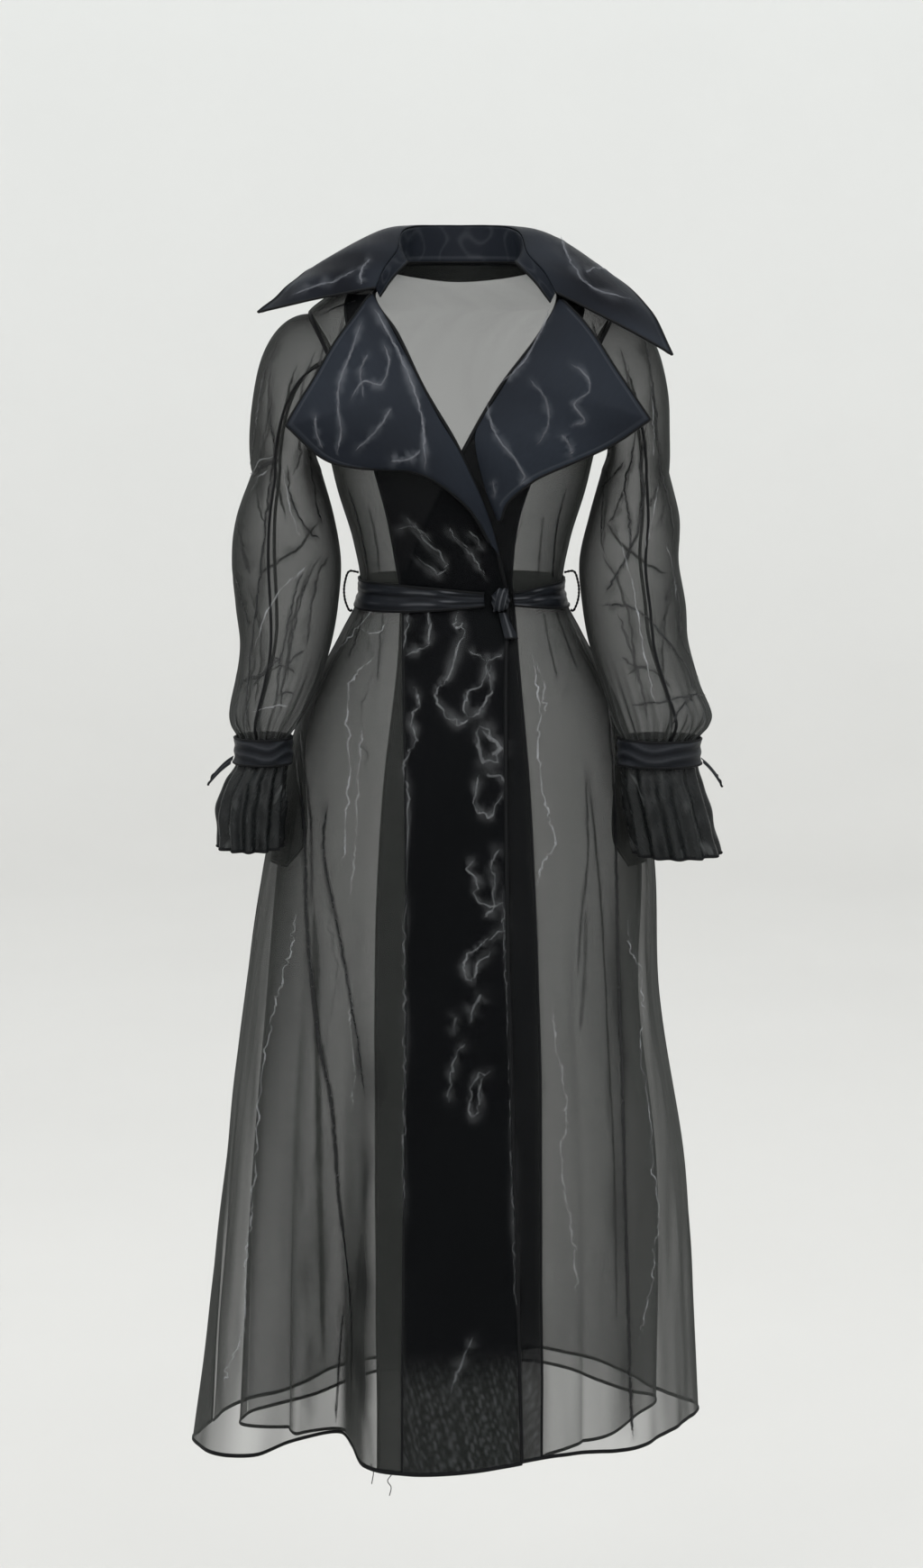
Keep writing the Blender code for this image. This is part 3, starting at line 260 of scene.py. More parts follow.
# pressed folds, drawn dark: painted shade in each fold, and more cover where the sheer cloth lies
# double
DARK_FOLDS = (
    (4.6, 1.0, -193, 539, -180, 608, -176, 669, -174, 741, -162, 862, -147, 943, -139, 1053,
     -126, 1183, -127, 1316),
    (4.0, 0.9, -150, 600, -154, 661, -132, 775, -116, 869, -108, 930),
    (4.6, 1.0, 160, 440, 168, 509, 173, 611, 176, 745, 182, 922, 188, 1133, 193, 1287,
     196, 1335),
    (2.6, 0.6, 139, 560, 142, 662, 135, 724, 130, 796),
    (17.0, 0.8, -94, 860, -102, 1000, -107, 1120, -110, 1230, -98, 1340),
    (14.0, 0.6, 172, 700, 176, 922, 180, 1133, 186, 1320),
    (9.0, 0.55, -186, 980, -182, 1100, -180, 1220, -180, 1330),
    (4.0, 0.35, 140, 720, 138, 800, 133, 860),
    (3.0, 0.7, -186, 520, -170, 620, -168, 720),
    (3.0, 0.8, -134, 1180, -140, 1250, -146, 1335),
)
BACK_CREASES = (
    (3.4, 0.8, -96, 400, -112, 430, -104, 470, -118, 540, -112, 620),
    (3.2, 0.7, -20, 392, -28, 430, -12, 470, -24, 520, -10, 566),
    (3.2, 0.8, 44, 394, 58, 436, 50, 486, 70, 560, 66, 640, 82, 720),
    (3.0, 0.6, 104, 400, 126, 452, 120, 520),
    (3.2, 0.7, -150, 700, -158, 790, -150, 860, -168, 960, -176, 1080, -170, 1180),
    (3.0, 0.6, -60, 760, -52, 850, -64, 930, -58, 1040, -70, 1150, -66, 1260),
    (3.2, 0.7, 60, 820, 74, 900, 66, 1000, 84, 1110, 80, 1210),
    (3.2, 0.8, 172, 740, 186, 830, 180, 930, 200, 1060, 196, 1160, 210, 1270),
    (3.0, 0.6, -90, 210, -60, 236, -20, 240, 0, 262),
    (3.0, 0.6, 84, 200, 62, 250, 70, 300, 52, 344),
    (2.8, 0.6, -44, 300, -52, 336, -40, 360),
)
# folds of the back: painted shade and more cover where the cloth lies double, with dark strips
# along them
BACK_FOLDS = (
    (9.0, 0.75, -176, 760, -174, 900, -172, 1060, -170, 1200, -168, 1335),
    (3.0, 0.9, 150, 600, 166, 760, 176, 930, 186, 1120, 190, 1335),
    (3.0, 0.8, -60, 640, -66, 800, -78, 1000, -84, 1200, -86, 1335),
)
LAPEL_CREASES = {RIGHT: (
    (3.2, 1.0, -98, 52, -79, 84, -64, 113, -49, 152, -42, 185, -40, 229),
    (3.0, 0.8, -110, 66, -122, 99, -133, 128, -137, 156, -133, 185, -138, 212),
    (2.8, 0.7, -162, 168, -159, 192, -153, 205),
    (2.8, 0.7, -86, 92, -80, 113, -89, 135, -108, 132, -122, 152),
    (3.6, 0.6, -118, 207, -100, 192, -86, 174, -78, 160),
    (4.0, 0.8, -78, 218, -60, 216, -44, 207),
    (3.0, 0.5, -104, 104, -112, 120, -108, 150),
), LEFT: (
    (3.2, 0.8, 99, 52, 85, 84, 67, 113, 42, 135),
    (3.0, 0.8, 27, 152, 32, 174, 42, 196, 60, 218, 69, 236, 65, 247),
    (3.0, 0.6, 121, 113, 136, 124, 141, 143, 125, 156, 136, 174, 121, 180),
    (4.2, 0.6, 111, 189, 120, 203, 121, 212),
    (3.0, 0.5, 34, 240, 38, 258),
    (3.4, 0.4, 76, 130, 92, 150, 96, 178, 84, 200),
)}
COLLAR_CREASES = (
    (3.4, 0.9, -103, -1, -112, 12, -112, 28),
    (3.2, 0.8, -118, 11, -142, 23, -164, 29, -190, 40),
    (3.4, 0.9, 112, -26, 118, -8, 127, 10, 149, 32, 190, 44),
    (3.0, 0.8, 138, 14, 153, 10, 168, 16),
)
# folds of the sleeves as they hang: dark strips of painted shade where the cloth folds double,
# pale strips of painted highlight on a crest
SLEEVE_DARK = {RIGHT: (
    (3.4, 1.0, -198, 204, -210, 221, -216, 255, -221, 296, -226, 348, -230, 381, -235, 422,
     -238, 455, -240, 484, -239, 519),
    (2.6, 0.9, -196, 228, -194, 255, -186, 280, -172, 302, -160, 312),
    (3.0, 0.8, -215, 119, -217, 153, -214, 186, -210, 211, -213, 232),
    (3.2, 0.7, -205, 84, -217, 112, -226, 145, -233, 186, -238, 221, -240, 243),
    (4.4, 0.7, -240, 253, -230, 234, -214, 225, -204, 222),
    (3.0, 0.8, -257, 350, -250, 377, -244, 392, -239, 410),
    (2.4, 0.9, -178, 346, -186, 365, -193, 394, -199, 426, -205, 463, -209, 496),
    (2.2, 0.8, -168, 346, -178, 368, -186, 399, -192, 430, -199, 467, -203, 500),
    (5.0, 0.7, -204, 440, -209, 443, -226, 459, -243, 467, -254, 480),
    (2.2, 0.7, -195, 449, -188, 439, -176, 433),
    (2.4, 0.8, -205, 480, -197, 477, -188, 478),
    (6.0, 0.6, -257, 290, -252, 307, -246, 330, -238, 350),
    (3.6, 0.8, -150, 84, -160, 118, -168, 160, -172, 211, -164, 271, -156, 300),
    (3.0, 0.7, -164, 100, -178, 141, -184, 181, -181, 214, -190, 240),
    (3.4, 0.6, -150, 330, -162, 352, -170, 392, -174, 430),
), LEFT: (
    (4.2, 0.9, 205, 84, 211, 112, 218, 163, 223, 225, 232, 261, 239, 296, 240, 330),
    (3.0, 1.0, 196, 182, 190, 225, 184, 253, 188, 286, 190, 306, 188, 326, 180, 344),
    (3.2, 1.0, 208, 176, 202, 225, 204, 261, 198, 302, 182, 336, 170, 358, 162, 372),
    (3.0, 0.7, 184, 225, 167, 245, 159, 255),
    (3.0, 0.7, 182, 257, 175, 278, 167, 292),
    (5.0, 0.5, 225, 225, 223, 251, 210, 276),
    (2.6, 1.0, 158, 384, 170, 383, 183, 384, 204, 393, 225, 414, 244, 438, 257, 463, 260, 482),
    (2.2, 0.7, 179, 438, 192, 447, 208, 449),
    (2.6, 0.9, 189, 490, 217, 486, 246, 482, 261, 481, 276, 487),
    (2.6, 0.9, 261, 481, 246, 491, 236, 506, 232, 520),
    (5.0, 0.7, 240, 340, 245, 391, 246, 417, 259, 445, 270, 477),
    (5.0, 0.5, 245, 350, 235, 370, 228, 379),
    (3.0, 0.6, 176, 392, 189, 430, 201, 470, 206, 505),
    (3.0, 0.8, 160, 92, 168, 130, 170, 176, 166, 230, 158, 290, 160, 330),
    (2.6, 0.6, 178, 96, 188, 140, 190, 180),
)}
SLEEVE_PALE = {RIGHT: (
    (2.4, 0.7, -202, 228, -196, 262, -188, 292, -182, 308),
    (2.8, 0.8, -240, 243, -238, 239, -226, 223, -212, 218),
    (2.4, 0.6, -238, 262, -230, 243, -218, 234),
    (2.6, 0.7, -176, 342, -182, 348, -200, 363, -216, 387, -226, 412, -233, 431),
    (2.0, 0.6, -235, 500, -220, 494, -206, 491, -194, 492),
    (2.0, 0.5, -160, 120, -172, 150, -178, 190, -174, 230),
    (2.0, 0.5, -224, 130, -230, 170, -235, 210),
), LEFT: (
    (2.2, 0.8, 190, 350, 197, 389, 205, 438, 215, 487),
    (2.2, 0.6, 212, 130, 216, 180, 216, 220),
    (2.2, 0.6, 232, 320, 240, 350, 242, 379),
    (2.0, 0.5, 176, 300, 184, 330, 190, 350),
    (2.0, 0.6, 222, 250, 214, 290, 206, 320),
)}
# the right sleeve from behind, mirrored on the left: dark strips of painted shade along its folds
SLEEVE_BACK_DARK = (
    (3.2, 0.9, -190, 120, -206, 180, -214, 240, -204, 300),
    (3.0, 0.8, -216, 150, -228, 210, -236, 262, -228, 310),
    (3.4, 0.9, -166, 300, -186, 328, -210, 346, -236, 360),
    (2.8, 0.7, -164, 340, -182, 372, -196, 420, -200, 480),
    (2.8, 0.8, -246, 372, -234, 410, -230, 456, -236, 505),
    (2.4, 0.7, -190, 470, -206, 462, -226, 470, -240, 486),
)
# wrinkles of the sheer shoulders, under the collar's points, drawn as dark strips of painted shade
SHOULDER_DARK = (
    (3.0, 0.8, -160, 62, -148, 56, -132, 50, -114, 44),
    (3.4, 0.6, -130, 56, -136, 84, -140, 112, -138, 140),
    (3.0, 0.6, -116, 58, -124, 88, -126, 120),
    (3.4, 0.7, 128, 62, 136, 90, 134, 124),
    (3.2, 0.7, 146, 66, 152, 96, 146, 130, 138, 150),
    (3.0, 0.7, 168, 63, 158, 84, 148, 100),
)
# where the bodice gathers toward the belt, drawn as dark strips of painted shade
SIDE_DARK = (
    (3.4, 0.8, -128, 250, -116, 290, -108, 330, -106, 360),
    (3.0, 0.7, -104, 270, -96, 310, -92, 350),
    (3.0, 0.8, 118, 250, 108, 290, 104, 330, 104, 360),
    (2.6, 0.6, 92, 280, 88, 320, 86, 356),
    (2.4, 0.7, -110, 392, -118, 420, -130, 450),
    (2.6, 0.7, 106, 392, 116, 420, 132, 462),
    (2.4, 0.6, 92, 392, 98, 424, 108, 470),
    (2.4, 0.6, -88, 392, -92, 430, -94, 470),
)


def wider(table, by):
    return [(by * row[0], *row[1:]) for row in table]


def on_side(table, sign):
    return [row for row in table if (row[2] < 0) == (sign < 0)]


# ---------------------------------------------------------------- small tools
def at(table, key):
    """A table's columns at an array of keys, smooth between rows and flat past its ends."""
    t = np.asarray(table, float)
    k = np.clip(np.asarray(key, float), t[0, 0], t[-1, 0])
    i = np.clip(np.searchsorted(t[:, 0], k, side="right") - 1, 0, len(t) - 2)
    low, high = t[i], t[i + 1]
    before, after = t[np.maximum(i - 1, 0)], t[np.minimum(i + 2, len(t) - 1)]
    span = high[..., :1] - low[..., :1]
    f = (k[..., None] - low[..., :1]) / span
    start = (high - before) / (high[..., :1] - before[..., :1])
    end = (after - low) / (after[..., :1] - low[..., :1])
    value = (2 * f**3 - 3 * f**2 + 1) * low + (3 * f**2 - 2 * f**3) * high
    value = value + (f**3 - 2 * f**2 + f) * span * start + (f**3 - f**2) * span * end
    return np.moveaxis(value[..., 1:], -1, 0)


def numbered(rows):
    return [(float(i), *row) for i, row in enumerate(rows)]


def smooth(spots, count):
    """A smooth path of so many points through places in space."""
    return at(numbered(spots), np.linspace(0, len(spots) - 1, count)).T


def ease(low, high, value):
    t = np.clip((np.asarray(value, float) - low) / (high - low), 0.0, 1.0)
    return t * t * (3.0 - 2.0 * t)


def power(value, exponent):
    return np.sign(value) * np.abs(value) ** exponent


def unit(v):
    return v / np.maximum(np.linalg.norm(v, axis=-1, keepdims=True), 1e-12)


def wobble(u, v, size, seed, count=7):
    """Smooth uneven field, about -1 to 1, with features of a size in metres."""
    rng = np.random.default_rng(seed)
    total = 0.0
    for _ in range(count):
        turn, phase = rng.uniform(0, 2 * math.pi, 2)
        pitch = 2 * math.pi * rng.uniform(0.6, 1.6) / size
        total = total + np.sin(pitch * (u * math.cos(turn) + v * math.sin(turn)) + phase)
    return total * 1.5 / count


def normals(grid, closed=False):
    """Outward normals of a grid whose rows run down and columns toward +X."""
    down = np.gradient(grid, axis=0)
    if closed:
        across = np.roll(grid, -1, 1) - np.roll(grid, 1, 1)
    else:
        across = np.gradient(grid, axis=1)
    return unit(np.cross(down, across))


def place(grid, n, out):
    return grid + n * (out + np.zeros(grid.shape[:2]))[..., None]


def creases(x, drop, table, seed):
    """How strongly each point is on a crease, 0 to 1, fading and uneven along each."""
    total = np.zeros(np.broadcast(x, drop).shape)
    points = np.stack(np.broadcast_arrays(x, drop), -1).reshape(-1, 2)
    flat = total.reshape(-1)
    rng = np.random.default_rng(seed)
    for width, strength, *places in table:
        p = np.reshape(places, (-1, 2)) / 1000.0
        path = smooth(p, max(int(len(p) * 6), 8))
        path = path + rng.normal(0, 0.0009, path.shape)
        w = width / 1000.0
        near = np.all((points > path.min(0) - 3 * w) & (points < path.max(0) + 3 * w), 1)
        if not near.any():
            continue
        q = points[near]
        a, b = path[:-1], path[1:]
        ab = b - a
        f = ((q[:, None] - a) * ab).sum(-1) / (ab * ab).sum(-1)
        f = np.clip(f, 0, 1)
        d = np.linalg.norm(q[:, None] - (a + ab * f[..., None]), axis=-1)
        best = d.argmin(1)
        rows = np.arange(len(q))
        along = (best + f[rows, best]) / len(a)
        fade = np.clip(np.minimum(along, 1 - along) * 7 + 0.25, 0, 1)
        uneven = 0.72 + 0.28 * np.sin(along * rng.uniform(14, 26) + rng.uniform(0, 6))
        thin = w * (0.55 + 0.35 * np.sin(along * rng.uniform(9, 17) + 1.0))
        value = strength * fade * uneven * np.exp(-((d[rows, best] / thin) ** 2))
        flat[near] = np.maximum(flat[near], value)
    return flat.reshape(total.shape)


# ---------------------------------------------------------------- forms
def body(angle, drop, folds=FOLDS):
    angle, drop = np.broadcast_arrays(np.asarray(angle, float), np.asarray(drop, float))
    centre, width, front_depth, back_depth = at(BODY, drop)
    a = np.radians(angle)
    depth = np.where(np.cos(a) > 0, front_depth, back_depth)
    drift_x, drift_y, start = at(folds, (angle + 90.0) % 360.0 - 90.0)
    growth = np.clip((drop - start) / (HEM_DROP - start), 0, 1) ** 1.7
    x = centre + width * power(np.sin(a), SQUARE) + drift_x * growth
    y = -depth * power(np.cos(a), SQUARE) + drift_y * growth
    return np.stack([x, y, -drop], -1)


def angle_at(x, drop):
    low = np.full(np.shape(x), -89.5)
    high = -low
    for _ in range(40):
        middle = 0.5 * (low + high)
        left = body(middle, drop)[..., 0] < x
        low, high = np.where(left, middle, low), np.where(left, high, middle)
    return 0.5 * (low + high)


def side_angle(drop):
    """Angle of the side seam, and of the armhole above it, less the gap left beside it."""
    ratio = np.clip((drop - ARM_DROP) / ARM_HALF, -1, 1)
    gap = np.degrees(SIDE_GAP / (1.4 * at(BODY, drop)[2]))
    return 90.0 - ARM_SPREAD * np.sqrt(1.0 - ratio * ratio) - gap


def top_lift(angle, drop, full):
    return full * (1.0 - ease(42.0, 80.0, np.abs(angle))) * ease(0.110, 0.200, drop)


def drape(angle, drop):
    """Soft hand of the cloth: shallow hanging waves that grow down the skirt."""
    wave = wobble(angle / 90.0, drop * 0.22, 0.30, 11)
    fine = wobble(angle / 90.0, drop * 0.5, 0.11, 12)
    return (0.0034 * wave + 0.0012 * fine) * ease(0.42, 0.80, drop)


# ---------------------------------------------------------------- layers of a piece
EDGE_SLOT, CREST_SLOT, FOLD_SLOT = 1, 2, 3       # of a piece's materials; 0 is its cloth
RIB_SIDES = 6
HEAD, FOOT = np.s_[0], np.s_[-1]                 # a grid's first and last row
START, END = np.s_[:, 0], np.s_[:, -1]           # its first and last column


def sheet_look(shape, cover=1.0, glint=0.0, shade_and_tone=0.0):
    """What the materials read at each point: how much of what is behind the cloth hides,
    how pale its painted highlight is, and how dark it is drawn, which is painted shade in folds
    and troughs and partly the cloth's own darkness."""
    look = np.zeros(shape[:2] + (3,))
    look[..., 0] = cover
    look[..., 1] = glint
    look[..., 2] = shade_and_tone
    return look


def layer(grid, look=None, closed=False, slot=0):
    if look is None:
        look = sheet_look(grid.shape)
    return {"grid": grid, "closed": closed, "look": look, "slot": slot}


def rib(path, normal, half_width, half_height):
    """A narrow rounded ridge along a path on the cloth."""
    tangent = unit(np.gradient(path, axis=0))
    side = unit(np.cross(tangent, normal))
    out = unit(np.cross(side, tangent))
    ring = []
    for turn in np.linspace(0, 2 * math.pi, RIB_SIDES, endpoint=False):
        ring.append(path + side * half_width * math.cos(turn) + out * half_height * math.sin(turn))
    return layer(np.stack(ring, 1), None, True, EDGE_SLOT)


def bound(grid, n, *edges):
    """Ribs on edges of a grid; each names its edge, half its width and half its height."""
    return [rib(grid[where], n[where], wide, high) for where, wide, high in edges]


def hoop(grid, n, where, half_width, half_height):
    """A rib round a closed edge."""
    path, normal = grid[where], n[where]
    return rib(np.concatenate([path, path[:2]]), np.concatenate([normal, normal[:2]]),
               half_width, half_height)


def settle(grid, n, places, behind=False):
    """Points and normals of a sheet at places (x, drop), seen square on, and how far off
    the sheet each place is."""
    points, out = grid.reshape(-1, 3), n.reshape(-1, 3)
    facing = out[:, 1] > 0.06 if behind else out[:, 1] < -0.06
    points, out = points[facing], out[facing]
    spots = np.stack([places[:, 0], -places[:, 1]], -1)
    near = np.empty(len(spots), int)
    for k in range(0, len(spots), 64):
        gap = spots[k:k + 64, None] - points[None, :, ::2]
        near[k:k + 64] = (gap * gap).sum(-1).argmin(1)
    found, normal = points[near], out[near]
    shift = spots - found[:, ::2]
    off = np.linalg.norm(shift, axis=1)
    shift = shift * np.minimum(1.0, 0.005 / np.maximum(off, 1e-9))[:, None]
    rise = -(normal[:, 0] * shift[:, 0] + normal[:, 2] * shift[:, 1]) / normal[:, 1]
    moved = found + np.stack([shift[:, 0], np.clip(rise, -0.006, 0.006), shift[:, 1]], -1)
    return moved, normal, off


def trace(grid, n, table, slot, seed, behind=False, lift=0.0005, sharp=0.0007, wide=1.0,
          steady=0.35):
    """Crease crests and folds as narrow raised strips on a sheet, one per row: the pale strips are
    painted highlights, the dark ones painted shade.
    sharp is how far a strip strays, wide widens it, and steady keeps it from breaking up."""
    rng = np.random.default_rng(seed)
    strips = []
    for width, strength, *places in table:
        path = np.reshape(places, (-1, 2)) / 1000.0
        length = np.linalg.norm(np.diff(path, axis=0), axis=1).sum()
        count = max(int(length / STRIP_STEP), 6)
        path = smooth(path, count)
        along = np.linspace(0, 1, count)
        jitter = rng.normal(0, sharp, (count, 2))
        jitter = jitter + np.roll(jitter, 1, 0) + 0.6 * np.roll(jitter, 2, 0)
        p, q, off = settle(grid, n, path + jitter, behind)
        seen = np.clip(1.6 - off / 0.0035, 0, 1)
        side = unit(np.cross(unit(np.gradient(p, axis=0)), q))
        run = along * length
        uneven = np.sin(run * rng.uniform(90, 160) + rng.uniform(0, 6))
        uneven = 0.5 + 0.3 * uneven + 0.2 * np.sin(run * rng.uniform(240, 420))
        taper = np.clip(np.minimum(along, 1 - along) * 8 + 0.12, 0, 1)
        kept = steady + (1.0 - steady) * uneven
        half = wide * width / 2000.0 * kept * taper * np.maximum(seen, 0.1)
        shine = strength * np.minimum(1.5 * taper, 1.0) * seen * kept
        columns = []
        for across, up in ((-1.0, 0.0), (-0.35, 0.8), (0.35, 0.8), (1.0, 0.0)):
            columns.append(p + side * (half * across)[:, None] + q * (lift + 0.0003 * up))
        look = sheet_look((count, 4), 1.0, shine[:, None])
        look[:, ::3, 1] *= 0.15
        strips.append(layer(np.stack(columns, 1), look, False, slot))
    return strips


# ---------------------------------------------------------------- materials
def tint(base, *by):
    """A colour's channels times a factor, or times one each."""
    return (*(c * f for c, f in zip(base, by * 3 if len(by) == 1 else by)), 1.0)


class Maker:
    """A material in the making: its nodes, its shader and the maps that the cloths share."""

    def __init__(self, name, pitch=0.0006):
        self.made = bpy.data.materials.new(name)
        self.made.use_nodes = True
        self.tree = self.made.node_tree
        self.shader = self.tree.nodes["Principled BSDF"]
        self.pitch = pitch

    def put(self, kind, inputs=(), **settings):
        """A node with its settings, and its inputs set to a value or linked to an output."""
        node = self.tree.nodes.new(kind)
        for key, value in settings.items():
            setattr(node, key, value)
        for key, value in dict(inputs).items():
            if isinstance(value, bpy.types.NodeSocket):
                self.tree.links.new(value, node.inputs[key])
            else:
                node.inputs[key].default_value = value
        return node

    def maths(self, operation, a, b=0.0, c=0.5, clamp=False):
        return self.put("ShaderNodeMath", {0: a, 1: b, 2: c}, operation=operation,
                        use_clamp=clamp).outputs[0]

    def weighed(self, *pairs):
        """Sum of fields, each times its weight."""
        total = None
        for field, weight in pairs:
            term = self.maths("MULTIPLY", field, weight)
            total = term if total is None else self.maths("ADD", total, term)
        return total

    def mixed(self, factor, a, b):
        return self.put("ShaderNodeMix", {0: factor, 6: a, 7: b}, data_type="RGBA").outputs[2]

    def noise(self, vector, scale, detail=2.0, stretch=None):
        if stretch:
            vector = self.put("ShaderNodeMapping", {0: vector, 3: stretch}).outputs[0]
        return self.put("ShaderNodeTexNoise",
                        {"Vector": vector, "Scale": scale, "Detail": detail}).outputs[0]

    def threads(self):
        """The weave's waves, the place on the cloth, and its two parts."""
        uv = self.put("ShaderNodeUVMap", uv_map="Cloth").outputs[0]
        parts = self.put("ShaderNodeSeparateXYZ", {0: uv}).outputs
        waves = [self.maths("SINE", self.maths("MULTIPLY", parts[axis], 2 * math.pi / self.pitch))
                 for axis in (0, 1)]
        return self.maths("MAXIMUM", *waves), uv, parts

    def look(self):
        """The point's cover, its painted highlight, and its darkening, which is mostly painted
        shade.
        """
        look = self.put("ShaderNodeAttribute", attribute_name="look").outputs["Color"]
        return self.put("ShaderNodeSeparateColor", {0: look}).outputs

    def link(self, field, socket):
        self.tree.links.new(field, self.shader.inputs[socket])

    def finish(self, colour, height, strength, depth, values):
        """Link the colour and a bump, and set the shader's own values."""
        self.link(colour, "Base Color")
        bump = self.put("ShaderNodeBump",
                        {"Strength": strength, "Distance": depth, "Height": height})
        self.link(bump.outputs[0], "Normal")
        for socket, value in values.items():
            self.shader.inputs[socket].default_value = value
        return self.made


def sheer(name, base, crease, pitch=0.0006):
    """Sheer plain weave: more of it covers what is behind where it's seen at a slant."""
    m = Maker(name, pitch)
    cover, glint, shade_and_tone = m.look()[:3]
    thread, uv, _ = m.threads()
    cloudy = m.noise(uv, 9.0, 3.0, (1.0, 0.35, 1.0))
    slub = m.noise(uv, 60.0, 2.0, (1.0, 0.04, 1.0))
    extra = m.weighed((thread, 0.03), (cloudy, 0.07), (slub, 0.04), (glint, 0.22))
    shut = m.maths("ADD", cover, m.maths("SUBTRACT", extra, 0.055))
    shut = m.maths("MINIMUM", shut, 0.985)
    facing = m.put("ShaderNodeLayerWeight", {"Blend": 0.5}).outputs["Facing"]
    cosine = m.maths("MAXIMUM", m.maths("SUBTRACT", 1.0, facing), 0.16)
    path = m.maths("DIVIDE", 1.0, cosine)
    clear = m.maths("POWER", m.maths("SUBTRACT", 1.0, shut), path)
    m.link(m.maths("SUBTRACT", 1.0, clear, clamp=True), "Alpha")
    # painted shade: the look's third channel darkens the colour over the dark folds and the panel
    dark = m.mixed(shade_and_tone, tint(base, 1.0), tint(base, 0.05, 0.055, 0.075))
    bright = m.put("ShaderNodeHueSaturation", {"Value": 1.7, "Color": dark}).outputs[0]
    varied = m.mixed(m.maths("MULTIPLY", cloudy, 0.4), dark, bright)
    m.link(m.maths("MULTIPLY_ADD", slub, 0.2, 0.5, True), "Roughness")
    # painted highlight: glint mixes in the pale crease colour
    return m.finish(m.mixed(glint, varied, tint(crease, 1.0)), thread, 0.25, 0.0002,
                    {"Sheen Weight": 0.01, "Sheen Roughness": 0.4, "Specular IOR Level": 0.03})


def dense(name, base, crease, rough=0.40, flash=0.0, shine=0.16):
    """Doubled, interfaced cloth: closed, satin, with painted highlights on its creases and painted
    shade where its folds and troughs are drawn darker.
    """
    m = Maker(name)
    _, glint, shade_and_tone = m.look()[:3]
    thread, uv, _ = m.threads()
    cloudy = m.noise(uv, 14.0, 4.0)
    grain = m.noise(uv, 260.0, 2.0, (1.0, 0.25, 1.0))
    pale, crease = tint(base, 2.2, 2.2, 2.3), tint(crease, 1.0)
    colour = m.mixed(m.maths("MULTIPLY", cloudy, 0.25), tint(base, 1.0), pale)
    colour = m.mixed(m.maths("MULTIPLY", grain, 0.3), colour, pale)
    # painted shade: the look's third channel darkens the colour in troughs and folds
    colour = m.mixed(shade_and_tone, colour, tint(base, 0.3, 0.3, 0.35))
    # painted highlight: glint mixes in the pale crease colour
    colour = m.mixed(glint, colour, crease)
    if flash:
        # sharp crinkles that catch the light here and there
        crinkle = m.noise(uv, 30.0, 3.0, (1.6, 0.45, 1.0))
        lit = m.put("ShaderNodeMapRange", {0: crinkle, 1: 0.60, 2: 0.74}, clamp=True)
        colour = m.mixed(m.maths("MULTIPLY", lit.outputs[0], flash), colour, crease)
    m.link(m.maths("MULTIPLY_ADD", grain, 0.18, rough - 0.09), "Roughness")
    height = m.maths("ADD", m.maths("MULTIPLY", thread, 0.5), cloudy)
    return m.finish(colour, height, 0.35, 0.0004,
                    {"Sheen Weight": 0.0, "Sheen Roughness": 0.35,
                     "Sheen Tint": (0.55, 0.6, 0.72, 1.0), "Specular IOR Level": shine})


def stitched(name, base):
    """Rolled hems and bound seams: closed, with a stitch every 2.4 mm."""
    m = Maker(name)
    _, uv, parts = m.threads()
    stitch = m.maths("SINE", m.maths("MULTIPLY", parts[1], 2 * math.pi / 0.0024))
    hole = m.maths("GREATER_THAN", stitch, 0.75)
    grain = m.noise(uv, 400.0)
    colour = m.mixed(m.maths("MULTIPLY", grain, 0.6), tint(base, 1.0), tint(base, 2.5, 2.5, 2.6))
    colour = m.mixed(m.maths("MULTIPLY", hole, 0.6), colour, (0.002, 0.002, 0.0025, 1.0))
    return m.finish(colour, stitch, 0.5, 0.0003,
                    {"Roughness": 0.6, "Specular IOR Level": 0.12})


def strip(name, base, most, rough):
    """Narrow strips on a sheet that fade with their own strength: painted highlights on crests and
    painted shade along folds.
    """
    m = Maker(name)
    glint = m.look()[1]
    thread, uv, _ = m.threads()
    grain = m.noise(uv, 300.0, 2.0)
    strength = m.maths("MULTIPLY", glint, most)
    broken = m.maths("ADD", 0.6, m.maths("MULTIPLY", grain, 0.8))
    m.link(m.maths("MULTIPLY", strength, broken, clamp=True), "Alpha")
    return m.finish(m.mixed(grain, tint(base, 0.6), tint(base, 1.4)), thread, 0.2, 0.0002,
                    {"Roughness": rough, "Specular IOR Level": 0.3})


SHEER = sheer("sheer_weave", (0.032, 0.0336, 0.0318), (0.15, 0.155, 0.16))
FUSED = sheer("fused_facing", (0.0022, 0.0026, 0.0038), (0.05, 0.052, 0.06), 0.0012)
SATIN = dense("interfaced_cloth", (0.0115, 0.0142, 0.0190), (0.16, 0.17, 0.19), shine=0.05)
CUFFED = dense("doubled_cloth", (0.0032, 0.0039, 0.0041), (0.20, 0.21, 0.21), 0.26, 0.40, 0.20)
BELTED = dense("crumpled_belt", (0.0060, 0.0070, 0.0088), (0.085, 0.088, 0.096), 0.36, 0.0, 0.08)
EDGE = stitched("rolled_edge", (0.0018, 0.0020, 0.0024))
THREAD = stitched("twisted_thread", (0.003, 0.003, 0.0035))
# painted highlights on crease crests, on the sheer cloth and on the satin
PAINTED_CREST = strip("painted_crest_highlight", (0.22, 0.225, 0.235), 0.85, 0.42)
SHINE = strip("painted_satin_highlight", (0.13, 0.135, 0.155), 0.50, 0.45)
# painted shade along folds
FOLD_SHADE = strip("painted_fold_shade", (0.002, 0.0025, 0.003), 1.2, 0.5)
CLOTH = (SHEER, EDGE, PAINTED_CREST, FOLD_SHADE)


# ---------------------------------------------------------------- objects
def cloth_map(grid, closed):
    """Each point's place on the cloth in metres: across and along."""
    if closed:
        grid = np.concatenate([grid, grid[:, :1]], 1)
    across = np.linalg.norm(np.diff(grid, axis=1), axis=-1).cumsum(1)
    along = np.linalg.norm(np.diff(grid, axis=0), axis=-1).cumsum(0)
    across = np.concatenate([np.zeros((len(grid), 1)), across], 1)
    along = np.concatenate([np.zeros((1, grid.shape[1])), along], 0)
    return np.stack([across, along], -1)


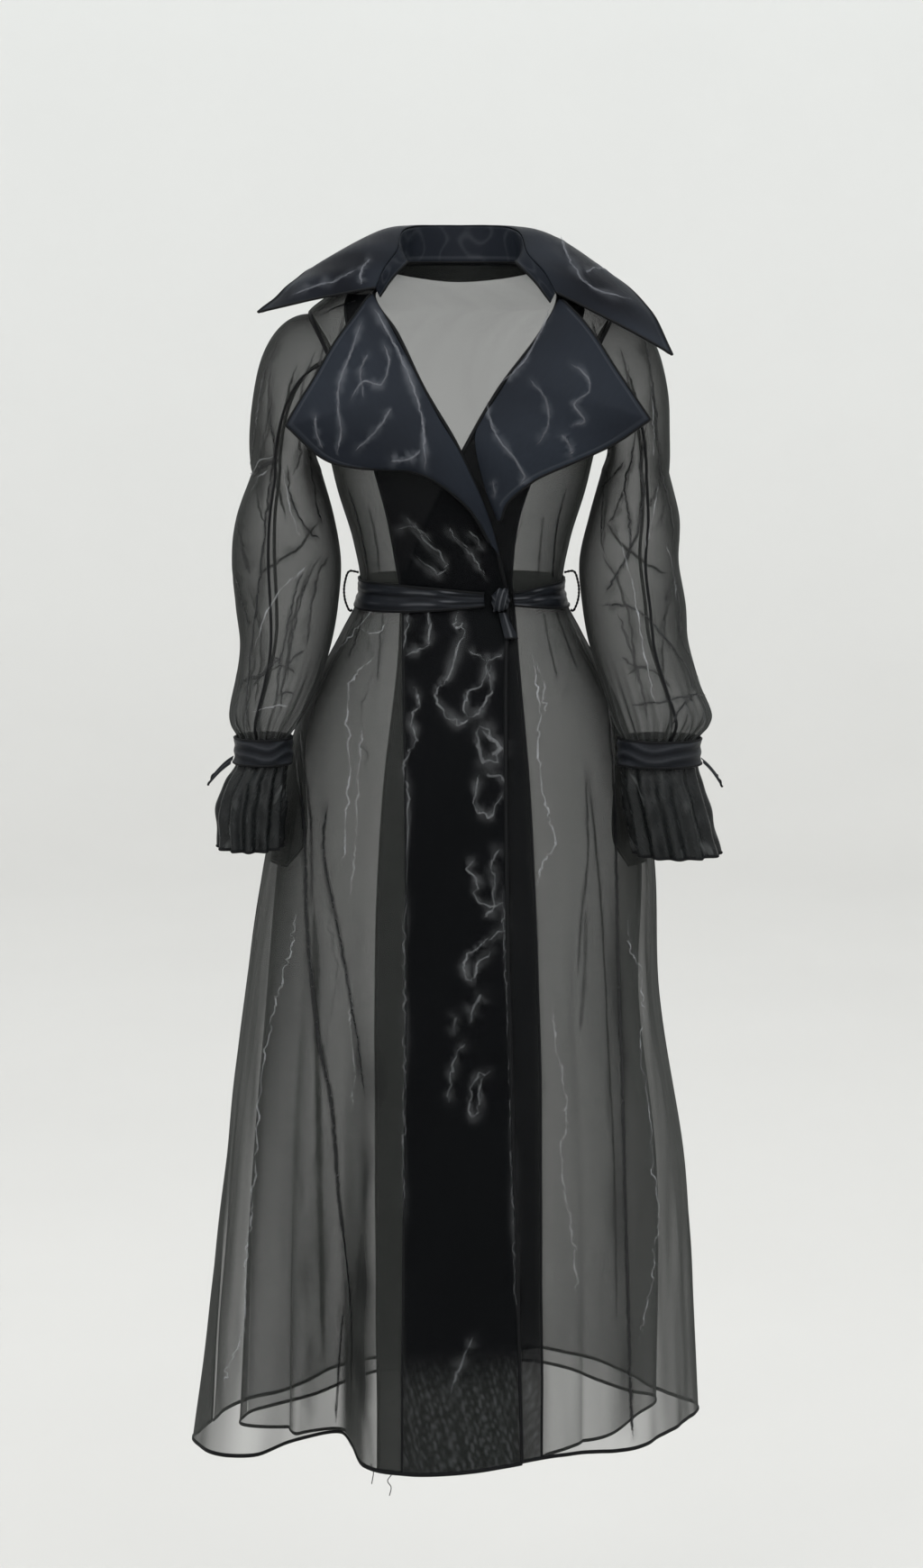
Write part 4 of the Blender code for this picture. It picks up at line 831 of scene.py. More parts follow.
def piece(node, layers, materials=CLOTH, wall=0.0, kind="cloth"):
    """One object that stands for a CAD node, made of grids of quads."""
    name = kind + "_" + node
    points, corners, maps, looks, slots = [], [], [], [], []
    first = 0
    for part in layers:
        grid = part["grid"]
        rows, count = grid.shape[:2]
        spans = count if part["closed"] else count - 1
        i, j = np.meshgrid(np.arange(rows - 1), np.arange(spans), indexing="ij")
        i, j = i.ravel(), j.ravel()
        k = (j + 1) % count
        quads = [i * count + j, (i + 1) * count + j, (i + 1) * count + k, i * count + k]
        corners.append(np.stack(quads, 1) + first)
        uv = cloth_map(grid, part["closed"])
        maps.append(np.stack([uv[i, j], uv[i + 1, j], uv[i + 1, j + 1], uv[i, j + 1]], 1))
        points.append(grid.reshape(-1, 3))
        looks.append(part["look"].reshape(-1, 3))
        slots.append(np.full(len(i), part["slot"]))
        first += rows * count
    points, corners, looks = [np.concatenate(each) for each in (points, corners, looks)]
    mesh = bpy.data.meshes.new(name)
    mesh.vertices.add(len(points))
    mesh.vertices.foreach_set("co", points.ravel())
    mesh.loops.add(corners.size)
    mesh.loops.foreach_set("vertex_index", corners.ravel())
    mesh.polygons.add(len(corners))
    mesh.polygons.foreach_set("loop_start", np.arange(0, corners.size, 4))
    mesh.polygons.foreach_set("material_index", np.concatenate(slots))
    mesh.update(calc_edges=True)
    mesh.shade_smooth()
    mesh.uv_layers.new(name="Cloth").data.foreach_set("uv", np.concatenate(maps).ravel())
    colour = np.concatenate([looks, np.ones((len(looks), 1))], 1)
    mesh.attributes.new("look", "FLOAT_COLOR", "POINT").data.foreach_set("color", colour.ravel())
    for each in materials:
        mesh.materials.append(each)
    obj = bpy.data.objects.new(name, mesh)
    bpy.context.scene.collection.objects.link(obj)
    if wall:
        thick = obj.modifiers.new("Wall", "SOLIDIFY")
        thick.thickness = wall
        thick.offset = 0.0
    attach(obj, "root")
    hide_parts(node)


# ---------------------------------------------------------------- body
def body_rows():
    neck = np.linspace(TOP_DROP, ARM_DROP - ARM_HALF, 16)[:-1]
    arm = ARM_DROP - ARM_HALF * np.cos(np.linspace(0, math.pi, 45))
    skirt = np.linspace(ARM_DROP + ARM_HALF, HEM_DROP, 232)[1:]
    return np.concatenate([neck, arm, skirt])


ROWS = body_rows()
LOW = ROWS >= LINING_TOP - 1e-9
CAD_SIDE = 11.0            # columns of the solid from side seam to facing
SIDE_SHARE = np.linspace(0.0, 1.0, 89)
SIDE_STEPS = 1.0 - (1.0 - SIDE_SHARE) ** 1.45
FACING_STEPS = np.linspace(0.0, 1.0, 46)
LEAST_STEP = 2.0           # degrees, least width of a skirt's side and of a facing


def front_angles(sign):
    """Angles of a front's points, from its side seam to its facing and on to its edge."""
    under_edge, top_inner, top_edge, under_inner = at(FRONT_EDGES, ROWS)
    side = sign * side_angle(ROWS)
    inner = angle_at(top_inner if sign == RIGHT else under_inner, ROWS)
    edge = angle_at(top_edge if sign == RIGHT else under_edge, ROWS)
    least = np.maximum if sign == RIGHT else np.minimum
    inner = least(inner, side - sign * LEAST_STEP)
    edge = least(edge, inner - sign * LEAST_STEP)
    skirt = side[:, None] + (inner - side)[:, None] * SIDE_STEPS
    facing = inner[:, None] + (edge - inner)[:, None] * FACING_STEPS[1:]
    return np.concatenate([skirt, facing], 1)


def front(sign):
    """A front with its facing and its lining."""
    angle = front_angles(sign)
    drop = np.broadcast_to(ROWS[:, None], angle.shape)
    form = body(angle, drop)
    n = normals(form) * -sign
    x = form[..., 0]
    lines = np.maximum(creases(x, drop, wider(PANEL_CREASES, 2.2), 3),
                       creases(x, drop, SKIRT_CREASES, 4))
    dark = creases(x, drop, DARK_FOLDS, 5)
    lift = CREST_RISE * lines - FOLD_SINK * dark + drape(angle, drop)
    base = place(form, n, top_lift(angle, drop, LAP[sign]) + lift)
    top = place(base, n, WALL / 2)
    count = len(SIDE_SHARE)
    # the facing doubles the cloth in the panel, and the flanks are the sides of the skirt
    panel = ease(count - 5, count + 1, np.arange(angle.shape[1]))[None] * np.ones_like(drop)
    hem = ease(1.20, 1.27, drop) * panel
    grain = np.clip(wobble(x, drop, 0.012, 31) + wobble(x, drop, 0.006, 32), 0, 1)
    reach = np.abs(x)
    flank = ease(0.80, 0.89, reach / reach.max(1)[:, None]) * ease(0.60, 0.90, drop)
    cover = 0.365 + 0.40 * dark + 0.46 * panel - 0.10 * hem + 0.18 * flank
    # painted highlights on the creases, and a paler mottle on the panel's hem
    glint = (0.14 + 0.22 * panel) * lines + 0.26 * hem * grain
    # painted shade: the dark folds are drawn darker, and so is the panel, partly standing for the
    # cloth lying double there
    shade_and_tone = np.maximum(panel * (0.97 - 0.35 * hem), 0.8 * dark)
    layers = [layer(top, sheet_look(top.shape, cover, np.clip(glint, 0, 1), shade_and_tone)),
              *bound(top, n, (FOOT, *HEM_RIB), (END, *HEM_RIB),
                     (np.s_[:, count - 1], *FACING_RIB)),
              *bound(top[LOW], n[LOW], (START, *SIDE_RIB))]
    own = on_side(SKIRT_CREASES, sign)
    if sign == RIGHT:
        own += [(row[0], 0.55 * row[1], *row[2:]) for row in PANEL_CREASES]
    pressed = [row for row in on_side(DARK_FOLDS + SIDE_DARK + SHOULDER_DARK, sign)
               if row[0] < BROAD_FOLD]
    # pale strips of painted highlight on the crests, dark strips of painted shade along the folds
    layers += trace(top, n, own, CREST_SLOT, 71, **LOOSE_STRIP)
    layers += trace(top, n, pressed, FOLD_SLOT, 72, **FOLD_STRIP)
    if sign == RIGHT:
        layers += loose_threads(top[-1, -1])
    piece("front_" + SIDE[sign], layers)

    inner = place(base, n, FACING_OFF + WALL / 2)[LOW]
    angle, drop, n = angle[LOW], drop[LOW], n[LOW]
    grid = inner[:, count - 1:]
    mottle = 0.90 - 0.14 * ease(1.15, 1.28, drop[:, count - 1:])
    layers = [layer(grid, sheet_look(grid.shape, mottle)),
              *bound(grid, n[:, count - 1:], (START, *THIN_RIB), (FOOT, *THIN_RIB))]
    piece("facing_" + SIDE[sign], layers, (FUSED, EDGE))

    lapped = 3.0 if sign == RIGHT else 0.0
    beyond = np.maximum(CAD_SIDE * (1.0 - SIDE_SHARE) - lapped, 0.0)[None]
    kept = np.append(np.arange(0, count - 2, 2), count - 2)
    lining("lining_" + SIDE[sign], inner[:, kept], angle[:, kept], drop[:, kept], -sign,
           np.minimum(beyond / 4.0, 1.0)[:, kept], np.minimum(beyond, 1.0)[:, kept])


def loose_threads(corner):
    """Two frayed threads at the lower corner of the hem."""
    made = []
    for beside, *bends in FRAYS:
        start = corner + np.array([beside, 0.0, 0.0])
        path = smooth([start] + [start + np.array([x, 0.0, -z]) for x, z in bends], 40)
        made.append(rib(path, np.broadcast_to([0.0, -1.0, 0.0], path.shape), 0.0005, 0.0005))
    return made


def lining(node, form, angle, drop, flip=1.0, share=1.0, near=1.0):
    """A lining that lies on the cloth above the waist and hangs a little inside it below.
    share is how freely it hangs, and near keeps it on the cloth beside the facing."""
    free = share * ease(0.394, 0.560, drop)
    room = LINING_ROOM * near * ease(0.380, 0.430, drop)
    level = np.array([1.0, 1.0, 0.0])
    inward = -unit(form * level)
    point = body(angle, drop, LINING_FOLDS)
    inside = LINING_INSET * ease(0.500, 0.900, drop) - FACING_OFF
    target = point - unit(point * level) * np.broadcast_to(inside, point.shape[:2])[..., None]
    grid = form + (target - form) * (free * free)[..., None] + inward * room[..., None]
    layers = [layer(grid, sheet_look(grid.shape, LINING_COVER)),
              *bound(grid, normals(grid) * flip, (FOOT, *SOFT_RIB))]
    piece(node, layers)


def back():
    """The back and its lining."""
    side = side_angle(ROWS)
    angle = (180.0 - side)[:, None] + (2 * side)[:, None] * np.linspace(0, 1, 141)[None]
    drop = np.broadcast_to(ROWS[:, None], angle.shape)
    form = body(angle, drop)
    n = normals(form)
    x = form[..., 0]
    lines = creases(x, drop, BACK_CREASES, 6)
    dark = creases(x, drop, BACK_FOLDS, 7)
    base = place(form, n, CREST_RISE * lines - FOLD_SINK * dark + drape(angle, drop))
    top = place(base, n, WALL / 2)
    # painted highlights on the creases and painted shade over the dark folds, with strips of both
    layers = [layer(top, sheet_look(top.shape, 0.37 + 0.40 * dark, 0.14 * lines, 0.6 * dark)),
              *bound(top, n, (FOOT, *HEM_RIB))]
    layers += trace(top, n, BACK_CREASES, CREST_SLOT, 73, True, **LOOSE_STRIP)
    layers += trace(top, n, BACK_FOLDS, FOLD_SLOT, 74, True, **FOLD_STRIP)
    piece("back", layers)
    inner = place(base, n, BACK_LINING_OFF + WALL / 2)
    lining("lining_back", inner[:, ::2], angle[:, ::2], drop[:, ::2])


def pocket(sign):
    drop = np.linspace(POCKET[0][0], POCKET[-1][0], 70)
    inner = at(POCKET, drop)[0]
    share = np.linspace(0, 1, 44)
    angle = sign * (POCKET_SIDE + (inner - POCKET_SIDE)[:, None] * share)
    drop = np.broadcast_to(drop[:, None], angle.shape)
    form = body(angle, drop)
    n = normals(form) * -sign
    out = top_lift(angle, drop, LAP[sign]) + POCKET_OFF + WALL / 2 + drape(angle, drop)
    grid = place(form, n, out)
    layers = [layer(grid, sheet_look(grid.shape, 0.86, 0.0, 0.95)),
              *bound(grid, n, (END, *POCKET_RIB), (FOOT, *POCKET_RIB), (HEAD, *THIN_RIB))]
    piece("pocket_" + SIDE[sign], layers)


# ---------------------------------------------------------------- sleeves
AROUND = np.linspace(0, 360, 144, endpoint=False)
SLEEVE_PARTS = {"outer": (-75.0, 75.0, 96), "under": (75.0, 285.0, 132)}


def armhole(sign, turn):
    a = np.radians(turn)
    drop = ARM_DROP - ARM_HALF * np.cos(a)
    return body(sign * (90.0 - ARM_SPREAD * np.sin(a)), drop)


def arm_points(table, sign, drop, turn):
    outer, inner, centre_y, half_depth = at(table, drop)
    a = np.radians(turn)
    wave = at(WAVES, drop)[0] * np.cos(GATHERS * a)
    x = 0.5 * (outer + inner) + (0.5 * (outer - inner) + wave) * np.cos(a)
    y = centre_y - (half_depth + wave) * np.sin(a)
    return np.stack([sign * x, y, -drop + 0 * x], -1)


def sleeve_grid(sign, turn):
    """The sleeve's cap, drawn from the armhole to the arm, and the arm below it."""
    table = ARM[sign]
    ring = armhole(sign, turn)
    centre = armhole(sign, np.arange(0, 360, 22.5)).mean(0)
    start = centre + (ring - centre) * ARM_SHRINK
    top = table[0][0]
    end = arm_points(table, sign, np.full(turn.shape, top), turn)
    reach = np.linalg.norm(end - start, axis=-1, keepdims=True)
    near = np.minimum(reach / CAP_REACH, 1.0)
    leave = np.array([sign * 1.0, 0.0, -0.08]) * CAP_LEAVE * (0.35 + 0.65 * near)
    arrive = np.array([0.0, 0.0, -1.0]) * CAP_ARRIVE * near
    t = np.linspace(0, 1, 50)[:-1, None, None]
    puff = CAP_PUFF * np.clip(np.cos(np.radians(turn)), 0, 1)[None, :, None]
    puff = puff * np.sin(math.pi * t)
    cap = start * (2 * t**3 - 3 * t**2 + 1) + end * (3 * t**2 - 2 * t**3)
    cap = cap + leave * (t**3 - 2 * t**2 + t) + arrive * (t**3 - t**2)
    cap = cap + puff * np.array([sign * 0.75, 0.0, 0.66])
    drop = np.linspace(top, table[-1][0], 96)[:, None]
    drop, turns = np.broadcast_arrays(drop, turn[None])
    return np.concatenate([cap, arm_points(table, sign, drop, turns)], 0)


def sleeve(sign, part):
    low, high, columns = SLEEVE_PARTS[part]
    turn = np.linspace(low + 0.3, high - 0.3, columns)
    grid = sleeve_grid(sign, turn)
    n = normals(grid) * -sign
    x, drop = grid[..., 0], -grid[..., 2]
    dark, pale = SLEEVE_DARK[sign], SLEEVE_PALE[sign]
    rear = [(wide, strength, *(np.reshape(spots, (-1, 2)) * (-sign, 1)).ravel())
            for wide, strength, *spots in SLEEVE_BACK_DARK]
    forward = n[..., 1] < 0
    folds = creases(x, drop, wider(dark, 2.2), 15) * forward
    folds = folds + creases(x, drop, wider(rear, 2.2), 16) * ~forward
    soft = wobble(x, drop, 0.10, 21 + sign)
    loose = ease(0.02, 0.14, np.abs(x) - 0.13) * (1.0 - ease(0.46, 0.53, drop))
    pleat = np.cos(np.radians(turn * 31 + 40 * np.sin(np.radians(turn * 3))))[None]
    gathered = ease(0.43, 0.535, drop) * pleat
    out = -0.0022 * folds + 0.0018 * soft * loose + 0.0006 * gathered
    grid = place(grid, n, out - WALL / 2)
    cover = 0.61 + 0.20 * folds + 0.08 * soft * loose
    # painted highlight on the crests of the gathers above the strap
    layers = [layer(grid, sheet_look(grid.shape, cover, 0.20 * np.clip(gathered, 0, 1), 0.35)),
              *bound(grid, n, (END, *SEAM_RIB), (HEAD, *SOFT_RIB))]
    if part == "outer":
        layers += bound(grid, n, (START, *SEAM_RIB))
    # dark strips of painted shade along the folds, pale strips of painted highlight on the crests
    layers += trace(grid, n, dark, FOLD_SLOT, 75, **SLEEVE_STRIP)
    layers += trace(grid, n, pale, CREST_SLOT, 76, **SLEEVE_CREST)
    layers += trace(grid, n, rear, FOLD_SLOT, 77, True, **SLEEVE_STRIP)
    piece("sleeve_%s_%s" % (SIDE[sign], part), layers)


def cuff(sign):
    table = CUFF[sign]
    drop = np.linspace(table[0][0], table[-1][0], 50)[:, None]
    drop, turns = np.broadcast_arrays(drop, AROUND[None])
    grid = arm_points(table, sign, drop, turns)
    n = normals(grid, True) * -sign
    a = np.radians(turns)
    round_x, round_y = 0.05 * np.cos(a), 0.05 * np.sin(a)
    lean = a + 0.10 * np.sin(drop * 90.0 + 3.0 * a)
    fold = 0.65 * np.cos(5.0 * lean + 1.8 * np.sin(3.0 * a)) + 0.35 * np.cos(9.0 * lean + 2.0)
    fade = 1.0 - 0.5 * ease(CUFF_TOP, 0.64, drop)
    crumple = wobble(round_x + drop, round_y, 0.034, 41)
    grid = place(grid, n, -WALL / 2 + 0.0013 * fold * fade + 0.0013 * crumple)
    # painted highlights on the fold crests and painted shade in the troughs
    glint = np.clip(fold - 0.60, 0, 1) * np.clip(crumple, 0, 1) * 1.2
    look = sheet_look(grid.shape, 1.0, glint, np.clip(-fold, 0, 1) * 0.6)
    layers = [layer(grid, look, True), hoop(grid, n, FOOT, *CUFF_RIB)]
    piece("cuff_" + SIDE[sign], layers, (CUFFED, EDGE), DOUBLE)


def strap(sign):
    drop = np.linspace(STRAP_TOP, STRAP_END, 18)[:, None]
    first = at(ARM[sign], np.array(STRAP_TOP))
    upper = at(ARM[sign], drop) * (drop < CUFF_TOP) + at(CUFF[sign], drop) * (drop >= CUFF_TOP)
    outer, inner, centre_y, half_depth = upper
    half = np.maximum(outer - inner, first[0] - first[1]) * 0.5 + STRAP_STAND
    deep = np.maximum(half_depth, first[3]) + STRAP_STAND
    a = np.radians(AROUND)[None]
    x = 0.5 * (outer + inner) + half * np.cos(a)
    y = centre_y - deep * np.sin(a)
    grid = np.stack([sign * x, y, -drop + 0 * x], -1)
    n = normals(grid, True) * -sign
    height = np.linspace(-1, 1, 18)[:, None]
    ridges = np.sin(7.0 * height + 1.6 * np.sin(3 * a) + 0.8 * np.cos(5 * a))
    grid = place(grid, n, HEAVY_WALL / 2 + 0.0006 * ridges)
    # painted highlights on the ridges and painted shade between them
    look = sheet_look(grid.shape, 1.0, np.clip(ridges - 0.55, 0, 1) * 0.4,
                      0.6 * np.clip(-ridges, 0, 1))
    layers = [layer(grid, look, True), hoop(grid, n, HEAD, *STRAP_RIB),
              hoop(grid, n, FOOT, *STRAP_RIB)]
    piece("strap_" + SIDE[sign], layers, (BELTED, EDGE), BAND)


def strap_tail(sign):
    start, end = TAIL[sign]
    t = np.linspace(0, 1, 30)[:, None, None]
    s = np.linspace(-1, 1, 20)[None, :, None]
    middle = start + (end - start) * t + np.array([0, 0, 0.002]) * np.sin(math.pi * t)
    across = np.array([-0.30 * sign, 0.55, 0.62]) * 0.5 * TAIL_WIDTH * (0.75 + 0.45 * t)
    grid = middle + across * s
    n = normals(grid)
    fold = np.sin(5.0 * s[..., 0] + 2.0 * t[..., 0])
    grid = place(grid, n, HEAVY_WALL / 2 * np.sign(n[0, 0, 2]) * -1 + 0.0006 * fold)
    # painted highlights on the fold crests
    layers = [layer(grid, sheet_look(grid.shape, 1.0, np.clip(fold - 0.4, 0, 1) * 0.6)),
              *bound(grid, n, (FOOT, 0.0009, 0.0008))]
    piece("strap_tail_" + SIDE[sign], layers, (BELTED, EDGE), BAND)


# ---------------------------------------------------------------- lapels and collar
def turned_edge(from_edge):
    """The ridge where the cloth's allowance lies inside, 6 mm from an edge."""
    return np.exp(-(((from_edge - 0.006) / 0.0012) ** 2))


def lapel(sign):
    table = LAPEL[sign]
    keys = np.concatenate([np.linspace(0, LAPEL_TIP, 42)[:-1],
                           np.linspace(LAPEL_TIP, len(table) - 1, 84)])
    rows = numbered(table)
    upper = at(rows[:LAPEL_TIP + 1], keys)
    lower = at(rows[LAPEL_TIP:], keys)
    whole = at(rows, keys)
    edge = np.where(keys <= LAPEL_TIP, upper, lower)
    roll_x, roll_drop, belly = whole[0], whole[1], whole[5]
    angle = angle_at(roll_x, roll_drop)
    out = top_lift(angle, roll_drop, LAP[sign]) + WALL + LAPEL_STAND[sign]
    roll = np.stack([roll_x, body(angle, roll_drop)[..., 1] - out, -roll_drop], -1)
    tip = np.stack([edge[2], edge[4], -edge[3]], -1)
    t = np.linspace(0, 1, 66)
    grid = roll[:, None] + (tip - roll)[:, None] * t[None, :, None]
    grid[..., 1] -= belly[:, None] * np.sin(math.pi * t)[None] + 0.004 * (t * (1 - t))[None]
    n = normals(grid) * sign
    x, drop = grid[..., 0], -grid[..., 2]
    table = LAPEL_CREASES[sign]
    lines = creases(x, drop, wider(table, 1.7), 51)
    soft = wobble(x, drop, 0.09, 52 + sign)
    width = np.linalg.norm(tip - roll, axis=-1)[:, None]
    turned = turned_edge(width * (1 - t)[None]) * (width > 0.02)
    free = ease(0.0, 0.35, t)[None] * ease(0.0, 0.04, width)
    out = HEAVY_WALL / 2 + 0.0013 * lines + 0.0016 * soft * free - 0.0006 * turned
    grid = place(grid, n, out)
    # painted sheen: broad patches where the satin is drawn paler or darker
    painted_sheen = wobble(0.6 * x + 0.4 * drop, drop - 0.4 * x, 0.15, 54 + sign)
    # painted highlights on the creases and on the turned edge's ridge
    glint = np.clip(0.38 * lines + 0.12 * turned, 0, 1)
    shade_and_tone = np.clip(0.35 - 0.35 * painted_sheen, 0, 0.8)
    layers = [layer(grid, sheet_look(grid.shape, 1.0, glint, shade_and_tone)),
              *bound(grid, n, (END, *LAPEL_RIB))]
    # pale strips of painted highlight on the crease crests
    layers += trace(grid, n, table, CREST_SLOT, 78, **SATIN_STRIP)
    piece("lapel_" + SIDE[sign], layers, (SATIN, EDGE, SHINE), DOUBLE)


def collar():
    keys = np.linspace(0, len(STAND) - 1, 208)
    spots = at(numbered(STAND), keys)
    foot, top = np.stack(spots[:3], -1), np.stack(spots[3:], -1)
    share = np.linspace(1, 0, 16)[:, None, None]
    grid = (foot + (top - foot) * share)[:, ::-1]
    n = normals(grid)
    u = keys[None, ::-1] * 0.03
    soft = wobble(u, share[..., 0] * 0.04, 0.06, 61)
    grid = place(grid, n, 0.0006 * soft - WALL / 2)
    # painted highlights on the stand's smooth spots and along a line near its foot, and painted
    # shade darkening it all
    seam = np.exp(-(((share[..., 0] - 0.12) / 0.03) ** 2)) * np.ones_like(soft)
    glint = 0.07 * (1 - ease(0, 0.2, np.abs(soft))) + 0.1 * seam
    layers = [layer(grid, sheet_look(grid.shape, 1.0, glint, 0.6)),
              *bound(grid, n, (FOOT, *STAND_RIB))]
    piece("collar_stand", layers, (SATIN, EDGE), DOUBLE)

    x, y, z, puff = at(numbered(FALL), keys)
    edge = np.stack([x, y, z], -1)
    start = top + np.array([0, 0, SEAM_GAP])
    t = np.linspace(0, 1, 54)[:, None, None]
    grid = start + (edge - start) * t
    grid[..., 2] += puff * np.sin(math.pi * t[..., 0]) ** 0.8
    grid = grid[:, ::-1]
    n = normals(grid)
    n *= np.sign(n[len(t) // 2, len(keys) // 2, 2])
    x, y, drop = grid[..., 0], grid[..., 1], -grid[..., 2]
    lines = creases(x, drop, wider(COLLAR_CREASES, 1.7), 62) * (y < 0.03)
    # painted highlights in streaks over the collar's back
    rear = wobble(x, y, 0.085, 63)
    behind = (1 - ease(0.0, 0.12, np.abs(rear))) * ease(0.0, 0.04, y) * 0.5
    soft = wobble(x, y * 2, 0.10, 64)
    width = np.linalg.norm(edge - start, axis=-1)[::-1][None]
    turned = turned_edge(width * (1 - t[..., 0]))
    # painted highlights on the creases, the streaks and the turned edge
    glint = np.clip(0.22 * np.maximum(lines, behind) + 0.10 * turned, 0, 1)
    out = HEAVY_WALL / 2 + 0.0012 * lines + 0.0012 * soft * ease(0, 0.3, t[..., 0])
    grid = place(grid, n, out - 0.0006 * turned)
    # painted shade: the fall is drawn darker, unevenly
    shade_and_tone = np.clip(0.75 - 0.5 * soft, 0.2, 1.0)
    layers = [layer(grid, sheet_look(grid.shape, 1.0, glint, shade_and_tone)),
              *bound(grid, n, (FOOT, *LAPEL_RIB), (START, *LAPEL_RIB), (END, *LAPEL_RIB))]
    layers += trace(grid, n, COLLAR_CREASES, CREST_SLOT, 79, **SATIN_STRIP)
    piece("collar_fall", layers, (SATIN, EDGE, SHINE), DOUBLE)


# ---------------------------------------------------------------- belt
def belt_points(angle, down, out):
    angle, down = np.broadcast_arrays(np.asarray(angle, float), np.asarray(down, float))
    point = body(angle, WAIST_DROP)
    beside = body(angle + 1.0, WAIST_DROP)
    n = unit(np.cross(beside - point, np.array([0.0, 0.0, 1.0])))
    turned = (angle + 180.0) % 360.0 - 180.0
    around = ease(52.0, 88.0, np.abs(turned))
    lift = BELT_OFF * (1.0 - around) + (WALL + 0.0012) * around
    edge = body(angle, WAIST_DROP + np.copysign(BELT_HALF, down))
    point = point + (edge - point) * (np.abs(down) / BELT_HALF)[..., None]
    return point + n * (lift + out)[..., None], n


def belt():
    start = KNOT_ANGLE + KNOT_HALF
    angle = np.linspace(start, start + 360.0 - 2.0 * KNOT_HALF, 300)[None]
    apart = np.minimum(angle - KNOT_ANGLE, KNOT_ANGLE + 360.0 - angle)
    half = at(BELT_PINCH, apart)[0]
    h = np.linspace(-1, 1, 26)[:, None]
    grid, n = belt_points(angle, h * half, np.zeros(1))
    near = 1.0 - ease(10.0, 70.0, apart)
    a = np.radians(angle)
    phase = 1.3 * np.sin(2.0 * a + 0.6) + 0.9 * np.sin(5.0 * a) + 0.5 * np.sin(11.0 * a + 2.0)
    ridges = 0.6 * np.sin(6.5 * h + phase) + 0.4 * np.sin(13.0 * h - 1.7 * phase)
    flat = 1.0 - 0.5 * ease(60.0, 150.0, apart)
    grid = place(grid, n, HEAVY_WALL / 2 + 0.0009 * ridges * flat + 0.0006 * near)
    # painted highlights on the ridge crests, stronger near the knot, and painted shade between the
    # ridges
    glint = np.clip((ridges - 0.55) * 1.6, 0, 1) * (0.35 + 0.65 * near) * flat
    layers = [layer(grid, sheet_look(grid.shape, 1.0, glint, np.clip(-ridges, 0, 1) * 0.8)),
              *bound(grid, n, (HEAD, *BELT_RIB), (FOOT, *BELT_RIB))]
    piece("belt", layers, (BELTED, EDGE), BAND)


def belt_knot():
    """A crumpled ball with one turn of the belt wrapped over it."""
    centre = belt_points(np.array(KNOT_ANGLE), np.array(0.0), np.array(KNOT_SIZE[1]))[0]
    lat = np.linspace(-math.pi / 2, math.pi / 2, 60)[::-1, None]
    lon = np.linspace(0, 2 * math.pi, 90, endpoint=False)[None]
    ball = np.stack([np.cos(lat) * np.sin(lon), -np.cos(lat) * np.cos(lon),
                     np.sin(lat) + 0 * lon], -1)
    swirl = np.sin(9.0 * ball[..., 0] + 5.0 * ball[..., 2] + 2.0 * np.sin(4 * ball[..., 2]))
    size = np.array(KNOT_SIZE) * (1.0 + 0.06 * swirl)[..., None]
    core = centre + power(ball, 0.85) * size * np.array([0.80, 0.80, 0.92])
    ring = np.linspace(0, 2 * math.pi, 100, endpoint=False)[:, None]
    s = np.linspace(-1, 1, 16)[None]
    fold = np.sin(6.0 * s + 2.0 * np.sin(ring))
    reach = 1.02 + 0.05 * fold
    wrap = np.stack([0.0058 * s + 0.0030 * np.cos(ring),
                     -KNOT_SIZE[1] * 0.90 * reach * np.sin(ring),
                     KNOT_SIZE[2] * reach * np.cos(ring)], -1) + centre
    wrap = np.concatenate([wrap, wrap[:1]], 0)
    fold = np.concatenate([fold, fold[:1]], 0)
    # painted highlights on the crumples and on the wrap's folds
    layers = [layer(core, sheet_look(core.shape, 1.0, np.clip(swirl - 0.6, 0, 1)), True),
              layer(wrap, sheet_look(wrap.shape, 1.0, np.clip(fold - 0.4, 0, 1)))]
    piece("belt_knot", layers, (BELTED,))


def belt_tail():
    start = WAIST_DROP + KNOT_SIZE[2] * 1.12 + SEAM_GAP
    t = np.linspace(0, 1, 40)[:, None]
    s = np.linspace(-1, 1, 18)[None]
    angle = KNOT_ANGLE + 2.0 + 2.0 * t + s * (2.0 + 1.5 * t)
    skirt = body(angle, start + TAIL_DROP * t + 0 * s)
    fold = np.sin(4.0 * s + 1.5 * t)
    grid = skirt + np.array([0.0, -TOP_OFF - WALL - TAIL_STAND - WALL / 2, 0.0])
    grid[..., 1] -= 0.0008 * fold
    # painted highlights on the fold crests
    layers = [layer(grid, sheet_look(grid.shape, 1.0, np.clip(fold - 0.5, 0, 1))),
              *bound(grid, normals(grid), (FOOT, 0.0009, 0.0007))]
    piece("belt_tail", layers, (BELTED, EDGE), 0.0008)


def belt_loop(sign):
    """Twisted thread that stands off round the belt at the side seam."""
    places = []
    waist = body(np.array(sign * 90.0), np.array(WAIST_DROP))
    for down, out in LOOP:
        drop = WAIST_DROP + down
        seam = body(np.array(sign * 90.0), np.array(drop))
        foot = seam[0] + sign * (WALL + 0.0014)
        far = waist[0] + sign * (WALL + HEAVY_WALL + LOOP_STAND + out)
        places.append((foot if out < 0.0 else far, seam[1], -drop))
    path = smooth(places, 220)
    tangent = unit(np.gradient(path, axis=0))
    out = np.broadcast_to(np.array([0.0, 1.0, 0.0]), path.shape)
    other = unit(np.cross(tangent, out))
    length = np.linalg.norm(np.diff(path, axis=0), axis=1).cumsum()
    length = np.concatenate([[0], length])[:, None]
    a = np.linspace(0, 2 * math.pi, 12, endpoint=False)[None]
    radius = LOOP_RADIUS * (1.0 + 0.22 * np.sin(2 * a + length * 2 * math.pi / 0.004))
    grid = path[:, None] + other[:, None] * (radius * np.cos(a))[..., None]
    grid = grid + out[:, None] * (radius * np.sin(a))[..., None]
    piece("belt_loop_" + SIDE[sign], [layer(grid, None, True)], (THREAD,), kind="thread")


